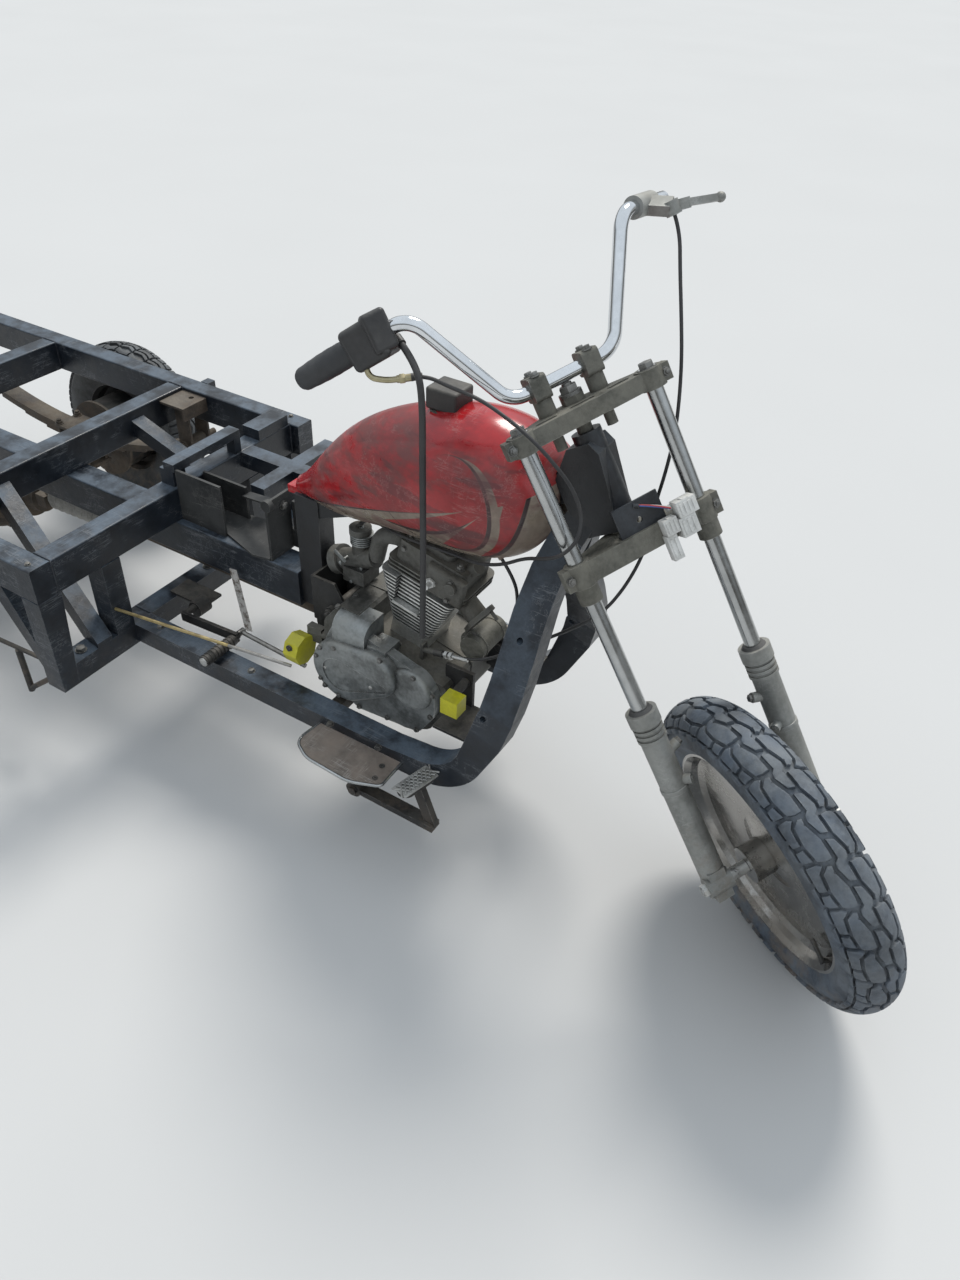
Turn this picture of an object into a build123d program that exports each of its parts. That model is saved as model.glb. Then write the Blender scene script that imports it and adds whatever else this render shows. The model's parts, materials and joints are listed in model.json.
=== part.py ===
from build123d import *
import math
import os

os.makedirs("parts", exist_ok=True)

# Stripped cargo tricycle: ladder chassis, single engine, long fork, three wheels.
# X forward, Y left, Z up, millimetres. Drawn with X from just ahead of the rear axle, and moved back at the end so
# that the origin lies on the ground in the middle plane, under the middle of the whole length.

# Ladder frame
rail_half_width = 400.0
rail_w = 50.0
rail_h = 78.0
rail_top = 535.0
rail_rear_x = -600.0
frame_front_x = 746.0
left_rail_extra = 26.0
edge_r = 4.0
beam_w = 50.0
beam_mid_x = 370.0
beam_rear_x = -102.0
centre_beam_w = 64.0
centre_beam_h = 85.0
centre_beam_front_x = 1083.0
rail_inner = rail_half_width - rail_w
rail_bottom = rail_top - rail_h

# Drop frame in front of the ladder
low_rail_bottom = 235.0
low_rail_h = 46.0
low_rail_half_width = 198.0
low_rail_w = 48.0
cross_bottom = 230.0
cross_h = 51.0
post_top_w = 55.0
post_foot_w = 38.0
inner_post_y = (197.0, 245.0)
gusset_reach = (136.0, 86.0)
brace_size = 38.0
brace_top = (197.0, 488.0)
brace_foot = (277.0, 281.0)
low_rail_top = low_rail_bottom + low_rail_h
cross_top = cross_bottom + cross_h
low_rail_inner = low_rail_half_width - low_rail_w
cross_rear_x = frame_front_x - beam_w

# Front ribbons of the drop frame: bend, then the rise that leans in to the neck
bend_x = 1485.0
bend_r_out = 158.0
bend_r_in = 106.0
bend_turn = 64.0

# Steering axis, fixed by the foot of the neck
neck_x = 1757.8
neck_z = 805.0
rake = 31.83
rest_turn = -37.7
neck_len = 162.0
neck_tube_r = 24.0
neck_half_w = 29.0
neck_back_n = -70.0
stem_r = 12.5
run_gap = 0.05

# Front wheel and fork
front_tyre_r = 300.0
front_tyre_half_w = 52.8
front_rim_r = 220.0
front_rim_half_w = 38.5
wheel_offset = 53.8
leg_offset = 42.1
leg_y = 110.0
leg_tube_r = 13.5
slider_r = 23.0
slider_top = 340.0
front_axle_r = 7.5
front_hub_r = 34.0
bridge_t = 35.0
riser_y = 45.0
bar_height = 90.0
bar_r = 11.0
grip_len = 94.0

# Rear wheels and axle
rear_axle_x = -30.0
rear_tyre_r = 240.0
rear_tyre_half_w = 66.0
rear_rim_r = 142.0
rear_rim_half_w = 52.0
rear_wheel_y = 528.0
axle_tube_r = 35.0
axle_tube_end = 395.0
drum_r = 112.0
half_shaft_r = 15.0
diff_r = 98.0
diff_y = 40.0

# Leaf springs
spring_inset = 70.0
leaf_w = 50.0
leaf_t = 6.5
leaf_half_lengths = (465.0, 375.0, 290.0, 200.0, 115.0)
spring_eye_z = 405.0
spring_y = rail_half_width - spring_inset

# Engine
crank_half_w = 95.0
cylinder_base = (1364.0, 416.0)
cylinder_lean = 12.0
fin_count = 14
fin_pitch = 8.9
fin_t = 3.0
fin_start = 34.0
fin_half_low = (46.0, 46.0)
fin_half_top = (82.0, 62.0)
head_len = 72.0

# Longer than the whole vehicle, for cuts that run right through
reach = 4000.0


def block(x0, x1, y0, y1, z0, z1):
    centre = ((x0 + x1) / 2, (y0 + y1) / 2, (z0 + z1) / 2)
    return Pos(*centre) * Box(abs(x1 - x0), abs(y1 - y0), abs(z1 - z0))


def side_plate(points, y_low, y_high):
    """Outline in X and Z, solid from y_low to y_high."""
    plane = Plane(origin=(0, y_high, 0), x_dir=(1, 0, 0), z_dir=(0, -1, 0))
    face = plane * Polygon(*points, align=None)
    return extrude(face, amount=y_high - y_low, dir=(0, -1, 0))


def top_plate(points, z_low, z_high, corner=0.0):
    """Outline in X and Y, solid from z_low to z_high."""
    face = Polygon(*points, align=None)
    if corner:
        face = fillet(face.vertices(), corner)
    return extrude(Pos(0, 0, z_low) * face, amount=z_high - z_low, dir=(0, 0, 1))


def rod(start, end, radius):
    start = Vector(*start)
    end = Vector(*end)
    run = end - start
    plane = Plane(origin=start, z_dir=run)
    return plane.location * Cylinder(radius, run.length, align=(Align.CENTER, Align.CENTER, Align.MIN))


def bar(start, end, across, deep, side=(0, 1, 0)):
    """Straight rectangular bar; across is measured along side."""
    start = Vector(*start)
    end = Vector(*end)
    run = end - start
    along = run.normalized()
    x_dir = Vector(*side) - along * Vector(*side).dot(along)
    plane = Plane(origin=start, x_dir=x_dir, z_dir=run)
    return plane.location * Box(across, deep, run.length, align=(Align.CENTER, Align.CENTER, Align.MIN))


def disc_y(x, z, radius, y0, y1):
    return rod((x, min(y0, y1), z), (x, max(y0, y1), z), radius)


def ahead_of(x):
    return block(x, x + reach, -reach, reach, -reach, reach)


def behind(x):
    return block(x - reach, x, -reach, reach, -reach, reach)


def below(z):
    return block(-reach, reach, -reach, reach, z - reach, z)


def long_slab(x0, x1):
    """Everything between two stations along the vehicle."""
    return block(x0, x1, -reach, reach, -reach, reach)


def cyl(radius, z0, z1):
    return Pos(0, 0, z0) * Cylinder(radius, z1 - z0, align=(Align.CENTER, Align.CENTER, Align.MIN))


def mirrored(shape):
    return mirror(shape, about=Plane.XZ)


def smooth_run(points, radii):
    """Straight runs joined by tangent arcs, one radius for each inner corner."""
    return FilletPolyline(*points, radius=radii)


def cord_radii(points, factor=0.45):
    radii = []
    for i in range(1, len(points) - 1):
        before = Vector(*points[i]) - Vector(*points[i - 1])
        after = Vector(*points[i + 1]) - Vector(*points[i])
        half_turn = math.radians(before.get_angle(after)) / 2
        radii.append(factor * min(before.length, after.length) / math.tan(half_turn))
    return radii


def tube_along(points, radius, radii):
    path = smooth_run(points, radii)
    return sweep(Plane(origin=path @ 0, z_dir=path % 0) * Circle(radius), path=path)


def ferrule(route, radius, length, at_end=False):
    """Short sleeve that carries on from a cord's first or last point, in line with it."""
    near, nxt = (route[-1], route[-2]) if at_end else (route[0], route[1])
    away = (Vector(*near) - Vector(*nxt)).normalized()
    return rod(near, tuple(Vector(*near) + away * length), radius)


def solids_of(shape):
    return list(shape.solids())


nodes = {}


def keep(name, *shapes):
    found = []
    for shape in shapes:
        found.extend(solids_of(shape))
    nodes[name] = found[0] if len(found) == 1 else Compound(children=found)
    return nodes[name]


def ring_profile(points):
    """Solid of revolution about Z from (radius, height) points."""
    plane = Plane(origin=(0, 0, 0), x_dir=(1, 0, 0), z_dir=(0, -1, 0))
    return revolve(plane * Polygon(*points, align=None), axis=Axis.Z)


# Steering frame: n forward, a left, t up the axis, origin on the axis at axle height
tilt = math.radians(rake)
turn = math.radians(rest_turn)
axis_up = Vector(-math.sin(tilt), 0, math.cos(tilt))
axis_front = Vector(math.cos(tilt), 0, math.sin(tilt))
turned_front = axis_front * math.cos(turn) + Vector(0, 1, 0) * math.sin(turn)
turned_left = axis_up.cross(turned_front)
wheel_cos = math.sqrt(1 - turned_left.Z ** 2)
front_crown_r = 56.0
front_centre_z = front_crown_r + (front_tyre_r - front_crown_r) * wheel_cos
neck_t = (neck_z + wheel_offset * turned_front.Z - front_centre_z) / axis_up.Z
axis_foot = Vector(neck_x, 0, neck_z) - axis_up * neck_t
steer = Plane(origin=axis_foot, x_dir=turned_front, z_dir=axis_up)
chassis_neck = Plane(origin=axis_foot, x_dir=axis_front, z_dir=axis_up)


def steered(shape):
    return steer.location * shape


def steer_point(n, a, t):
    return axis_foot + turned_front * n + turned_left * a + axis_up * t


# Centre lines of the cords: two cables from the bar controls to the engine, and three that hang free
cable_r = 3.0
loom_r = 5.25
hose_r = 3.0
wires_r = 2.5
throttle_route = [
    (1453, -152, 1025), (1471, -138, 1028), (1507, -129, 1016), (1553, -120, 1007), (1604, -125, 993),
    (1651, -132, 976), (1684, -125, 946), (1713, -115, 911), (1734, -115, 871), (1740, -134, 839),
    (1722, -149, 812), (1690, -142, 791), (1650, -124, 768), (1602, -112, 728), (1540, -84, 690),
    (1472, -62, 674), (1396, -56, 664), (1320, -40, 654), (1259, -12, 646), (1230, -2, 614)]
clutch_route = [
    (1681, 216, 1211), (1694, 214, 1190), (1712, 192, 1142), (1734, 168, 1086), (1754, 146, 1030), (1768, 127, 975),
    (1778, 107, 925), (1782, 82, 867), (1779, 66, 814), (1784, 48, 745), (1776, 4, 690), (1752, -32, 640),
    (1700, -42, 590), (1645, -42, 540), (1592, -44, 492), (1545, -50, 456), (1500, -56, 441), (1456, -58, 434)]
loom_route = [
    (1433, -145, 1068), (1470, -164, 1055), (1490, -175, 1018), (1490, -175, 890), (1491, -174, 740), (1490, -175, 570)]
hose_route = [
    (1572, -58, 698), (1600, -61, 670), (1612, -64, 632), (1609, -67, 580), (1604, -69, 530), (1601, -69, 482)]
wires_route = [tuple(steer_point(54, 14, 668)), tuple(steer_point(66, 30, 662)), tuple(steer_point(68, 54, 646))]


# Ladder rails
def rail(front_x):
    body = block(rail_rear_x, front_x, rail_inner, rail_half_width, rail_bottom, rail_top)
    return fillet(body.edges().filter_by(Axis.X), edge_r)


tab_x = beam_mid_x + 41
bed_tab = block(tab_x, tab_x + 24, rail_half_width, rail_half_width + 25, rail_top - 35, rail_top)
keep("rail_left", rail(frame_front_x + left_rail_extra) + bed_tab)
keep("rail_right", mirrored(rail(frame_front_x)))

beam_centres = (frame_front_x - beam_w / 2, beam_mid_x, beam_rear_x, rail_rear_x + beam_w / 2)
beams = []
for x in beam_centres:
    body = block(x - beam_w / 2, x + beam_w / 2, -rail_inner, rail_inner, rail_bottom, rail_top)
    beams.append(fillet(body.edges().filter_by(Axis.Y), edge_r))
keep("cross_beams", *beams)

# Centre beam hangs under the cross beams
centre_beam_rear_x = beam_rear_x - beam_w / 2
centre_beam = block(centre_beam_rear_x, centre_beam_front_x, -centre_beam_w / 2, centre_beam_w / 2,
                    rail_bottom - centre_beam_h, rail_bottom)
centre_beam = fillet(centre_beam.edges().filter_by(Axis.X), edge_r)
keep("centre_beam", centre_beam)

# Drop frame: cross member, corner posts, inner posts, gussets and braces
post_lines = [(-rail_half_width, rail_bottom), (-rail_half_width + post_top_w, rail_bottom),
              (-rail_half_width + post_foot_w, cross_bottom), (-rail_half_width, cross_bottom)]
post_plane = Plane(origin=(cross_rear_x, 0, 0), x_dir=(0, 1, 0), z_dir=(1, 0, 0))
outer_post = extrude(post_plane * Polygon(*post_lines, align=None), amount=beam_w, dir=(1, 0, 0))
inner_post = block(cross_rear_x, frame_front_x, -inner_post_y[1], -inner_post_y[0], cross_top, rail_bottom)
low_cross = block(cross_rear_x, frame_front_x, -rail_half_width, rail_half_width, cross_bottom, cross_top)
low_cross = low_cross - outer_post - mirrored(outer_post)
keep("low_cross", low_cross)
keep("posts", outer_post, mirrored(outer_post), inner_post, mirrored(inner_post))

gusset_lines = [(cross_rear_x, cross_bottom + 2), (cross_rear_x, cross_bottom + 60),
                (cross_rear_x - gusset_reach[1], rail_bottom), (cross_rear_x - gusset_reach[0], rail_bottom)]
gusset = side_plate(gusset_lines, -rail_half_width + 10, -rail_inner)
beam_mid_front = beam_mid_x + beam_w / 2
brace_far_x = frame_front_x - brace_size / 2
brace_run = (brace_far_x - beam_mid_front, brace_top[0] - brace_foot[0], brace_foot[1] - brace_top[1])
brace_start = (beam_mid_front - 0.1 * brace_run[0], -(brace_top[0] - 0.1 * (brace_foot[0] - brace_top[0])),
               brace_top[1] - 0.1 * brace_run[2])
brace_end = (brace_far_x + 0.1 * brace_run[0], -(brace_foot[0] + 0.1 * (brace_foot[0] - brace_top[0])),
             brace_foot[1] + 0.1 * brace_run[2])
brace = bar(brace_start, brace_end, brace_size, brace_size)
brace = brace - behind(beam_mid_front) - below(cross_top) - ahead_of(frame_front_x)
keep("struts", gusset, mirrored(gusset), brace, mirrored(brace))

# Spring hangers inside the rails, with a holed top plate at the front pair
hanger_x = (beam_mid_front, beam_mid_front + 80)
hanger_hole = (beam_mid_front + 49, spring_y)
hanger_hole_r = 7.0
hanger_in = spring_y - 60
hanger_top_z = rail_top - 9
plate_t = 6.0
eye_x = leaf_half_lengths[0]
front_eye_x = rear_axle_x + eye_x
rear_eye_x = rear_axle_x - eye_x


def front_hanger():
    plate = block(hanger_x[0], hanger_x[1], hanger_in, rail_inner, hanger_top_z - plate_t, hanger_top_z)
    plate = plate - Pos(hanger_hole[0], hanger_hole[1], 0) * cyl(hanger_hole_r, 0, reach)
    lip = block(hanger_x[1] - plate_t, hanger_x[1], hanger_in, rail_inner, hanger_top_z - 34, hanger_top_z - plate_t)
    cheeks = hanger_cheeks(front_eye_x, hanger_top_z - plate_t)
    return plate + lip + cheeks


def hanger_cheeks(eye, top_z):
    inner_y = spring_y - leaf_w / 2 - 2
    half = 22.0
    shape = block(eye - half, eye + half, inner_y - plate_t, inner_y, spring_eye_z - half, top_z)
    pin = disc_y(eye, spring_eye_z, 8, inner_y - plate_t, rail_half_width - 2)
    outer_y = spring_y + leaf_w / 2 + 2
    outer = block(eye - half, eye + half, outer_y, outer_y + plate_t, spring_eye_z - half, rail_bottom)
    return shape + pin + outer


rear_top_plate = block(rear_eye_x - 40, rear_eye_x + 40, hanger_in, rail_inner, hanger_top_z - plate_t, hanger_top_z)
rear_hanger = rear_top_plate + hanger_cheeks(rear_eye_x, hanger_top_z - plate_t)
front_one = front_hanger()

# Leaf springs: stacked leaves on one arc, resting on the axle tube
axle_z = rear_tyre_r
pack_bottom = axle_z + axle_tube_r
pack_top = pack_bottom + leaf_t * len(leaf_half_lengths)
sag = spring_eye_z - leaf_t / 2 - pack_top + leaf_t
arc_r = (eye_x ** 2 + sag ** 2) / (2 * sag)
arc_z = pack_top + arc_r
leaves = None
for i, half_length in enumerate(leaf_half_lengths):
    ring = Circle(arc_r + leaf_t * (i + 1)) - Circle(arc_r + leaf_t * i)
    window = Pos(0, -arc_r, 0) * Rectangle(2 * half_length, arc_r)
    slab = Plane(origin=(rear_axle_x, spring_y + leaf_w / 2, arc_z), x_dir=(1, 0, 0), z_dir=(0, -1, 0))
    leaf = extrude(slab * (ring & window), amount=leaf_w, dir=(0, -1, 0))
    leaves = leaf if leaves is None else leaves + leaf
eye_r = 17.0
for eye in (rear_eye_x, front_eye_x):
    leaves = leaves + disc_y(eye, spring_eye_z, eye_r, spring_y - leaf_w / 2, spring_y + leaf_w / 2)
for eye in (rear_eye_x, front_eye_x):
    leaves = leaves - disc_y(eye, spring_eye_z, 8, spring_y - leaf_w, spring_y + leaf_w)
keep("leaf_springs", leaves, mirrored(leaves))

# Spring clamps: plate over the leaves and U bolts round the axle tube
clamp_half = 52.0
clamp_plate = block(rear_axle_x - clamp_half, rear_axle_x + clamp_half, spring_y - 42, spring_y + 42, pack_top, pack_top + 8)
u_bolt_r = 6.0
u_side = leaf_w / 2 + u_bolt_r + 1
clamp_set = clamp_plate
for bolt_x in (rear_axle_x - axle_tube_r - u_bolt_r - 1, rear_axle_x + axle_tube_r + u_bolt_r + 1):
    for side in (-u_side, u_side):
        low = axle_z - axle_tube_r - 14
        clamp_set = clamp_set + rod((bolt_x, spring_y + side, low), (bolt_x, spring_y + side, pack_top + 22), u_bolt_r)
clamp_low = block(rear_axle_x - clamp_half, rear_axle_x + clamp_half, spring_y - 42, spring_y + 42,
                  axle_z - axle_tube_r - 10, axle_z - axle_tube_r)
clamp_set = clamp_set + clamp_low - leaves
keep("spring_fittings", clamp_set, mirrored(clamp_set), front_one, mirrored(front_one), rear_hanger,
     mirrored(rear_hanger))

# Rear axle housing with the final drive bulge, nose and backing plates
housing = disc_y(rear_axle_x, axle_z, axle_tube_r, -axle_tube_end, axle_tube_end)
bulge = Pos(rear_axle_x, diff_y, axle_z) * Sphere(diff_r)
bulge = bulge & block(-reach, reach, diff_y - 70, diff_y + 70, 0, reach)
bulge = bulge + disc_y(rear_axle_x, axle_z, diff_r + 8, diff_y - 12, diff_y + 12)
nose_z = axle_z + 22
nose_end = (rear_axle_x + 200, diff_y, nose_z + 24)
nose_mid = (rear_axle_x + 160, diff_y, nose_z + 16)
nose = rod((rear_axle_x, diff_y, nose_z), nose_mid, 55) + rod(nose_mid, nose_end, 38)
plate_disc = disc_y(rear_axle_x, axle_z, drum_r, axle_tube_end, axle_tube_end + 8)
boss = disc_y(rear_axle_x, axle_z, 42, axle_tube_end - 20, axle_tube_end)
bearing = disc_y(rear_axle_x, axle_z, 30, axle_tube_end + 8, axle_tube_end + 16)
bores = disc_y(rear_axle_x, axle_z, half_shaft_r + run_gap, axle_tube_end - 40, axle_tube_end + 20)
end_set = plate_disc + boss + bearing
housing = housing + bulge + nose + end_set + mirrored(end_set)
housing = housing - bores - mirrored(bores)
keep("rear_axle", housing)

# Propeller shaft with its ribbed boot, from the axle nose forward to the engine
boot_start = (rear_axle_x + 253, diff_y, axle_z + 69)
boot_end = (rear_axle_x + 461, diff_y, axle_z + 78)
boot_ribs = 9
boot_r = (28.0, 34.0)
shaft_r = 17.0
shaft_end = (1215.0, 20.0, 340.0)
boot_run = Vector(*boot_end) - Vector(*boot_start)
rib_len = boot_run.length / boot_ribs
boot_rib = []
for i in range(boot_ribs):
    boot_rib.extend([(boot_r[0], i * rib_len), (boot_r[1], (i + 0.5) * rib_len)])
boot_rib.append((boot_r[0], boot_run.length))
boot = ring_profile([(0, 0)] + boot_rib + [(0, boot_run.length)])
boot = Plane(origin=boot_start, z_dir=boot_run).location * boot
yoke_x = (nose_end[0] + boot_start[0]) / 2
yoke = rod(nose_end, boot_start, 22) + Pos(yoke_x, diff_y, (nose_end[2] + boot_start[2]) / 2) * Box(34, 62, 34)
yoke = yoke - boot - housing
keep("prop_boot", boot)

# Cradles: low rail, bend and leaning ribbon up to the neck
def bend_point(radius, angle):
    a = math.radians(angle)
    return (bend_x + radius * math.sin(a), low_rail_bottom + bend_r_out - radius * math.cos(a))


outer_mid = bend_point(bend_r_out, bend_turn / 2)
outer_end = bend_point(bend_r_out, bend_turn)
inner_mid = bend_point(bend_r_in, bend_turn / 2)
inner_end = bend_point(bend_r_in, bend_turn)
rise_rows = [
    # outer x, outer z, inner x, inner z, outside y, inside y
    (1667.0, 406.0, 1606.0, 431.0, 198.0, 150.0),
    (1680.0, 460.0, 1617.0, 478.0, 186.0, 137.0),
    (1686.0, 518.0, 1622.0, 528.0, 164.0, 114.0),
    (1687.0, 575.0, 1623.0, 580.0, 136.0, 86.0),
    (1686.0, 640.0, 1624.0, 646.0, 101.0, 52.0),
    (1690.0, 705.0, 1632.0, 716.0, 64.0, 18.0),
    (1706.0, 762.0, 1652.0, 782.0, 38.0, 2.0),
]
first = rise_rows[0]
taper_len = 60.0
run_plane = Plane(origin=(0, low_rail_half_width, 0), x_dir=(1, 0, 0), z_dir=(0, -1, 0))
outline = [
    Line((frame_front_x, low_rail_bottom), (bend_x, low_rail_bottom)),
    ThreePointArc((bend_x, low_rail_bottom), outer_mid, outer_end),
    Line(outer_end, (first[0], first[1])),
    Line((first[0], first[1]), (first[2], first[3])),
    Line((first[2], first[3]), inner_end),
    ThreePointArc(inner_end, inner_mid, (bend_x, low_rail_bottom + bend_r_out - bend_r_in)),
    Line((bend_x, low_rail_bottom + bend_r_out - bend_r_in), (bend_x - taper_len, low_rail_top)),
    Line((bend_x - taper_len, low_rail_top), (frame_front_x, low_rail_top)),
    Line((frame_front_x, low_rail_top), (frame_front_x, low_rail_bottom)),
]
low_part = extrude(run_plane * make_face(outline), amount=low_rail_w, dir=(0, -1, 0))


def rise_face(row):
    x0, z0, x1, z1, y0, y1 = row
    return Face(Wire.make_polygon([(x0, y0, z0), (x1, y0, z1), (x1, y1, z1), (x0, y1, z0)]))


rise_rows[0] = (first[0], first[1], first[2], first[3], low_rail_half_width, low_rail_inner)
rise = loft([rise_face(row) for row in rise_rows], ruled=True)
neck_lines = [(neck_back_n, 0), (4, 0), (24, 128), (14, 148), (-28, 148), (neck_back_n, 106)]
neck_side = Plane(origin=(0, neck_half_w, neck_t), x_dir=(1, 0, 0), z_dir=(0, -1, 0))
neck_box = extrude(neck_side * Polygon(*neck_lines, align=None), amount=2 * neck_half_w, dir=(0, -1, 0))
neck_box = chassis_neck.location * (neck_box + cyl(neck_tube_r, neck_t, neck_t + neck_len))
stem_way = chassis_neck.location * cyl(stem_r + run_gap, neck_t - 80, neck_t + neck_len + 80)
top_row = rise_rows[-1]
neck_foot_row = (1722.0, 806.0, 1676.0, 822.0, neck_half_w - 4, -neck_half_w + 4)
neck_foot = loft([rise_face(top_row[:4] + (top_row[4], -top_row[4])), rise_face(neck_foot_row)], ruled=True)
backbone_top = (1668.0, 0, 846.0)
backbone_low = (1130.0, 0, 622.0)
backbone_h = 46.0
backbone_w = 38.0
backbone = bar(backbone_top, backbone_low, backbone_w, backbone_h)
centre_beam_bottom = rail_bottom - centre_beam_h
rear_leg = block(centre_beam_front_x, centre_beam_front_x + 58, -22, 22, centre_beam_bottom + 8, 640)
neck = neck_box + (neck_foot - neck_box)
neck = neck - stem_way
keep("headstock", neck)

# Each ribbon has three bolt holes through its side
cradle_holes = ((1652.0, 600.0), (1626.0, 458.0), (1612.0, 472.0))
cradle_hole_r = 6.0
cradle = (low_part + rise) - neck
for x, z in cradle_holes:
    cradle = cradle - disc_y(x, z, cradle_hole_r, 0, reach)
keep("cradle_left", cradle)
keep("cradle_right", mirrored(cradle))
backbone = (backbone + rear_leg) - neck
keep("backbone", backbone)

# Seat support and battery bay on the first cross beam
seat_tube = (180.0, 220.0)
seat_tube_front = frame_front_x + 264
seat_tube_h = 38.0
seat_cross = (frame_front_x + 116, frame_front_x + 154)
seat_cross_h = 35.0
seat_top = rail_top + 37
seat_angle_t = 18.0
seat_long = block(cross_rear_x - 56, seat_tube_front, *seat_tube, rail_top - seat_tube_h, rail_top)
seat_long = seat_long - long_slab(cross_rear_x, frame_front_x)
seat_post = block(cross_rear_x + 6, frame_front_x - 6, -18, 18, rail_top, seat_top)
seat_riser = block(frame_front_x - 26, frame_front_x - 1, 165, 185, rail_top, seat_top)
seat_angle = block(frame_front_x - 31, frame_front_x, -18, 185, seat_top, seat_top + seat_angle_t)
seat_front = block(*seat_cross, 84, seat_tube[0], rail_top - seat_cross_h, rail_top)
seat_outer = block(*seat_cross, seat_tube[1], rail_inner - 10, rail_top - seat_cross_h, rail_top)
seat_rest = block(cross_rear_x, frame_front_x, 245, rail_inner - 5, rail_top, rail_top + 26)
keep("seat_frame", seat_post + seat_angle + seat_riser, seat_long, seat_front, seat_outer, seat_rest)

tray_x = (frame_front_x, frame_front_x + 126, frame_front_x + 180, frame_front_x + 221, frame_front_x + 262)
tray_t = 6.0
tray_side = block(tray_x[0], tray_x[1], -16, -10, rail_bottom, rail_top + 43)
tray_points = [(tray_x[0], -10), (tray_x[0], 60), (tray_x[2], 84), (tray_x[4], 40), (tray_x[4], -32), (tray_x[3], -39),
               (tray_x[1], -10)]
tray_floor = top_plate(tray_points, rail_bottom, rail_bottom + 5)
tray_back = block(tray_x[0], tray_x[1] - 3, 60, 66, rail_bottom + 5, rail_top + 5)
tray_front = block(tray_x[4], tray_x[4] + tray_t, -30, 40, rail_bottom, rail_top + 61)
tray_ear = disc_y(tray_x[4] + 3, rail_top + 52, 13, -30, -18)
tray_strap = bar((tray_x[1] - 3, 62, rail_top - 12), (tray_x[4] - 4, 18, rail_top + 31), 22, 4)
regulator_x = tray_x[4] + tray_t
regulator = block(regulator_x, regulator_x + 38, 44, 88, rail_top - 35, rail_top + 31)
reg_bracket = block(tray_x[4], regulator_x + 16, 40, 92, rail_bottom, rail_top - 35)
keep("battery_tray", tray_side + tray_floor + tray_front + tray_back + tray_ear, tray_strap - tray_front - tray_back,
     regulator + reg_bracket - tray_front)

# Foot plates beside the low rails
foot_points = [(1251, 260), (1258, low_rail_half_width), (1457, low_rail_half_width), (1459, 256), (1440, 268),
               (1403, 286), (1343, 290), (1290, 280)]
foot_z = 255.0
foot_t = 4.0
foot = top_plate(foot_points, foot_z, foot_z + foot_t, corner=5)
for x, y in ((1439, low_rail_half_width + 17), (1436, low_rail_half_width + 54)):
    foot = foot - Pos(x, y, 0) * cyl(6, 0, reach)
foot_bracket = block(1290, 1420, low_rail_half_width, low_rail_half_width + 64, foot_z - 22, foot_z)
keep("footplates", foot + foot_bracket, mirrored(foot + foot_bracket))

# Brake pedal under the right foot plate, its pad an oval across the vehicle
pivot_x = 1385.0
pivot_z = 196.0
pedal_y = 246.0
pedal_tip = (1568.0, 194.0)
pad_at = (1522.0, -244.0)
pad_size = (80.0, 34.0)
pad_turn = 76.0
pad_z = 278.0
pad_t = 8.0
pedal_bar = bar((pivot_x, -pedal_y, pivot_z), (pedal_tip[0], -pedal_y, pedal_tip[1]), 26, 14)
pedal_arm = bar((pedal_tip[0] - 6, -pedal_y, pedal_tip[1]), (pad_at[0] + 6, pad_at[1], pad_z), 14, 22)
pedal_pad = extrude(Pos(*pad_at, pad_z) * Rot(0, 0, pad_turn) * SlotOverall(*pad_size), amount=pad_t)
pedal_hub = disc_y(pivot_x, pivot_z, 17, -pedal_y - 14, -pedal_y + 14)
pedal_shaft = disc_y(pivot_x, pivot_z, 9, -pedal_y - 20, -low_rail_half_width + 40)
keep("brake_pedal", pedal_bar + pedal_arm + pedal_pad + pedal_hub)
pedal_drop = block(pivot_x - 18, pivot_x + 18, -low_rail_half_width + 14, -low_rail_half_width + 22,
                   pivot_z - 16, low_rail_bottom)
pedal_mount = pedal_drop + (pedal_shaft - disc_y(pivot_x, pivot_z, 30, -pedal_y - 14, -pedal_y + 14))

# Hand linkage in front of the low cross member
lever_x = (frame_front_x + 71, frame_front_x + 230)
lever_y = 124.0
lever_z = cross_top + 8
grip_z = lever_z + 11
lever_plate = block(frame_front_x - 20, lever_x[0] + 12, -72, -16, cross_top, cross_top + 6)
lever_hub = disc_y(lever_x[0], cross_top + 1, 19, -88, -54)
keep("pedal_brackets", pedal_mount, lever_plate + lever_hub)
lever_grip = disc_y(lever_x[1], grip_z, 12, -lever_y - 98, -lever_y - 10)
lever_pin = disc_y(lever_x[1], grip_z, 6, -lever_y - 10, -lever_y + 6)
lever_link = bar((lever_x[0], -lever_y, lever_z), (lever_x[1] + 4, -lever_y, grip_z), 8, 22)
lever_axle = disc_y(lever_x[0], lever_z, 8, -lever_y + 4, -88)
keep("foot_lever", lever_link + lever_axle + lever_grip + lever_pin)
rod_front_x = 1150.0
shift_rod = rod((lever_x[1], -108, grip_z + 4), (rod_front_x, -108, 292), 5)
shift_rod = shift_rod + disc_y(lever_x[1], grip_z + 4, 7, -lever_y + 6, -101)
long_rod = rod((frame_front_x, -inner_post_y[1] + 9, 347), (rod_front_x, -150, 322), 3.5) - inner_post
strip_y = -centre_beam_w / 2 - 1.25
strip = bar((frame_front_x + 151, strip_y, centre_beam_bottom + 20), (frame_front_x + 173, strip_y, cross_bottom + 2),
            2.5, 20)
keep("linkage", shift_rod, long_rod, strip)

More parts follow.
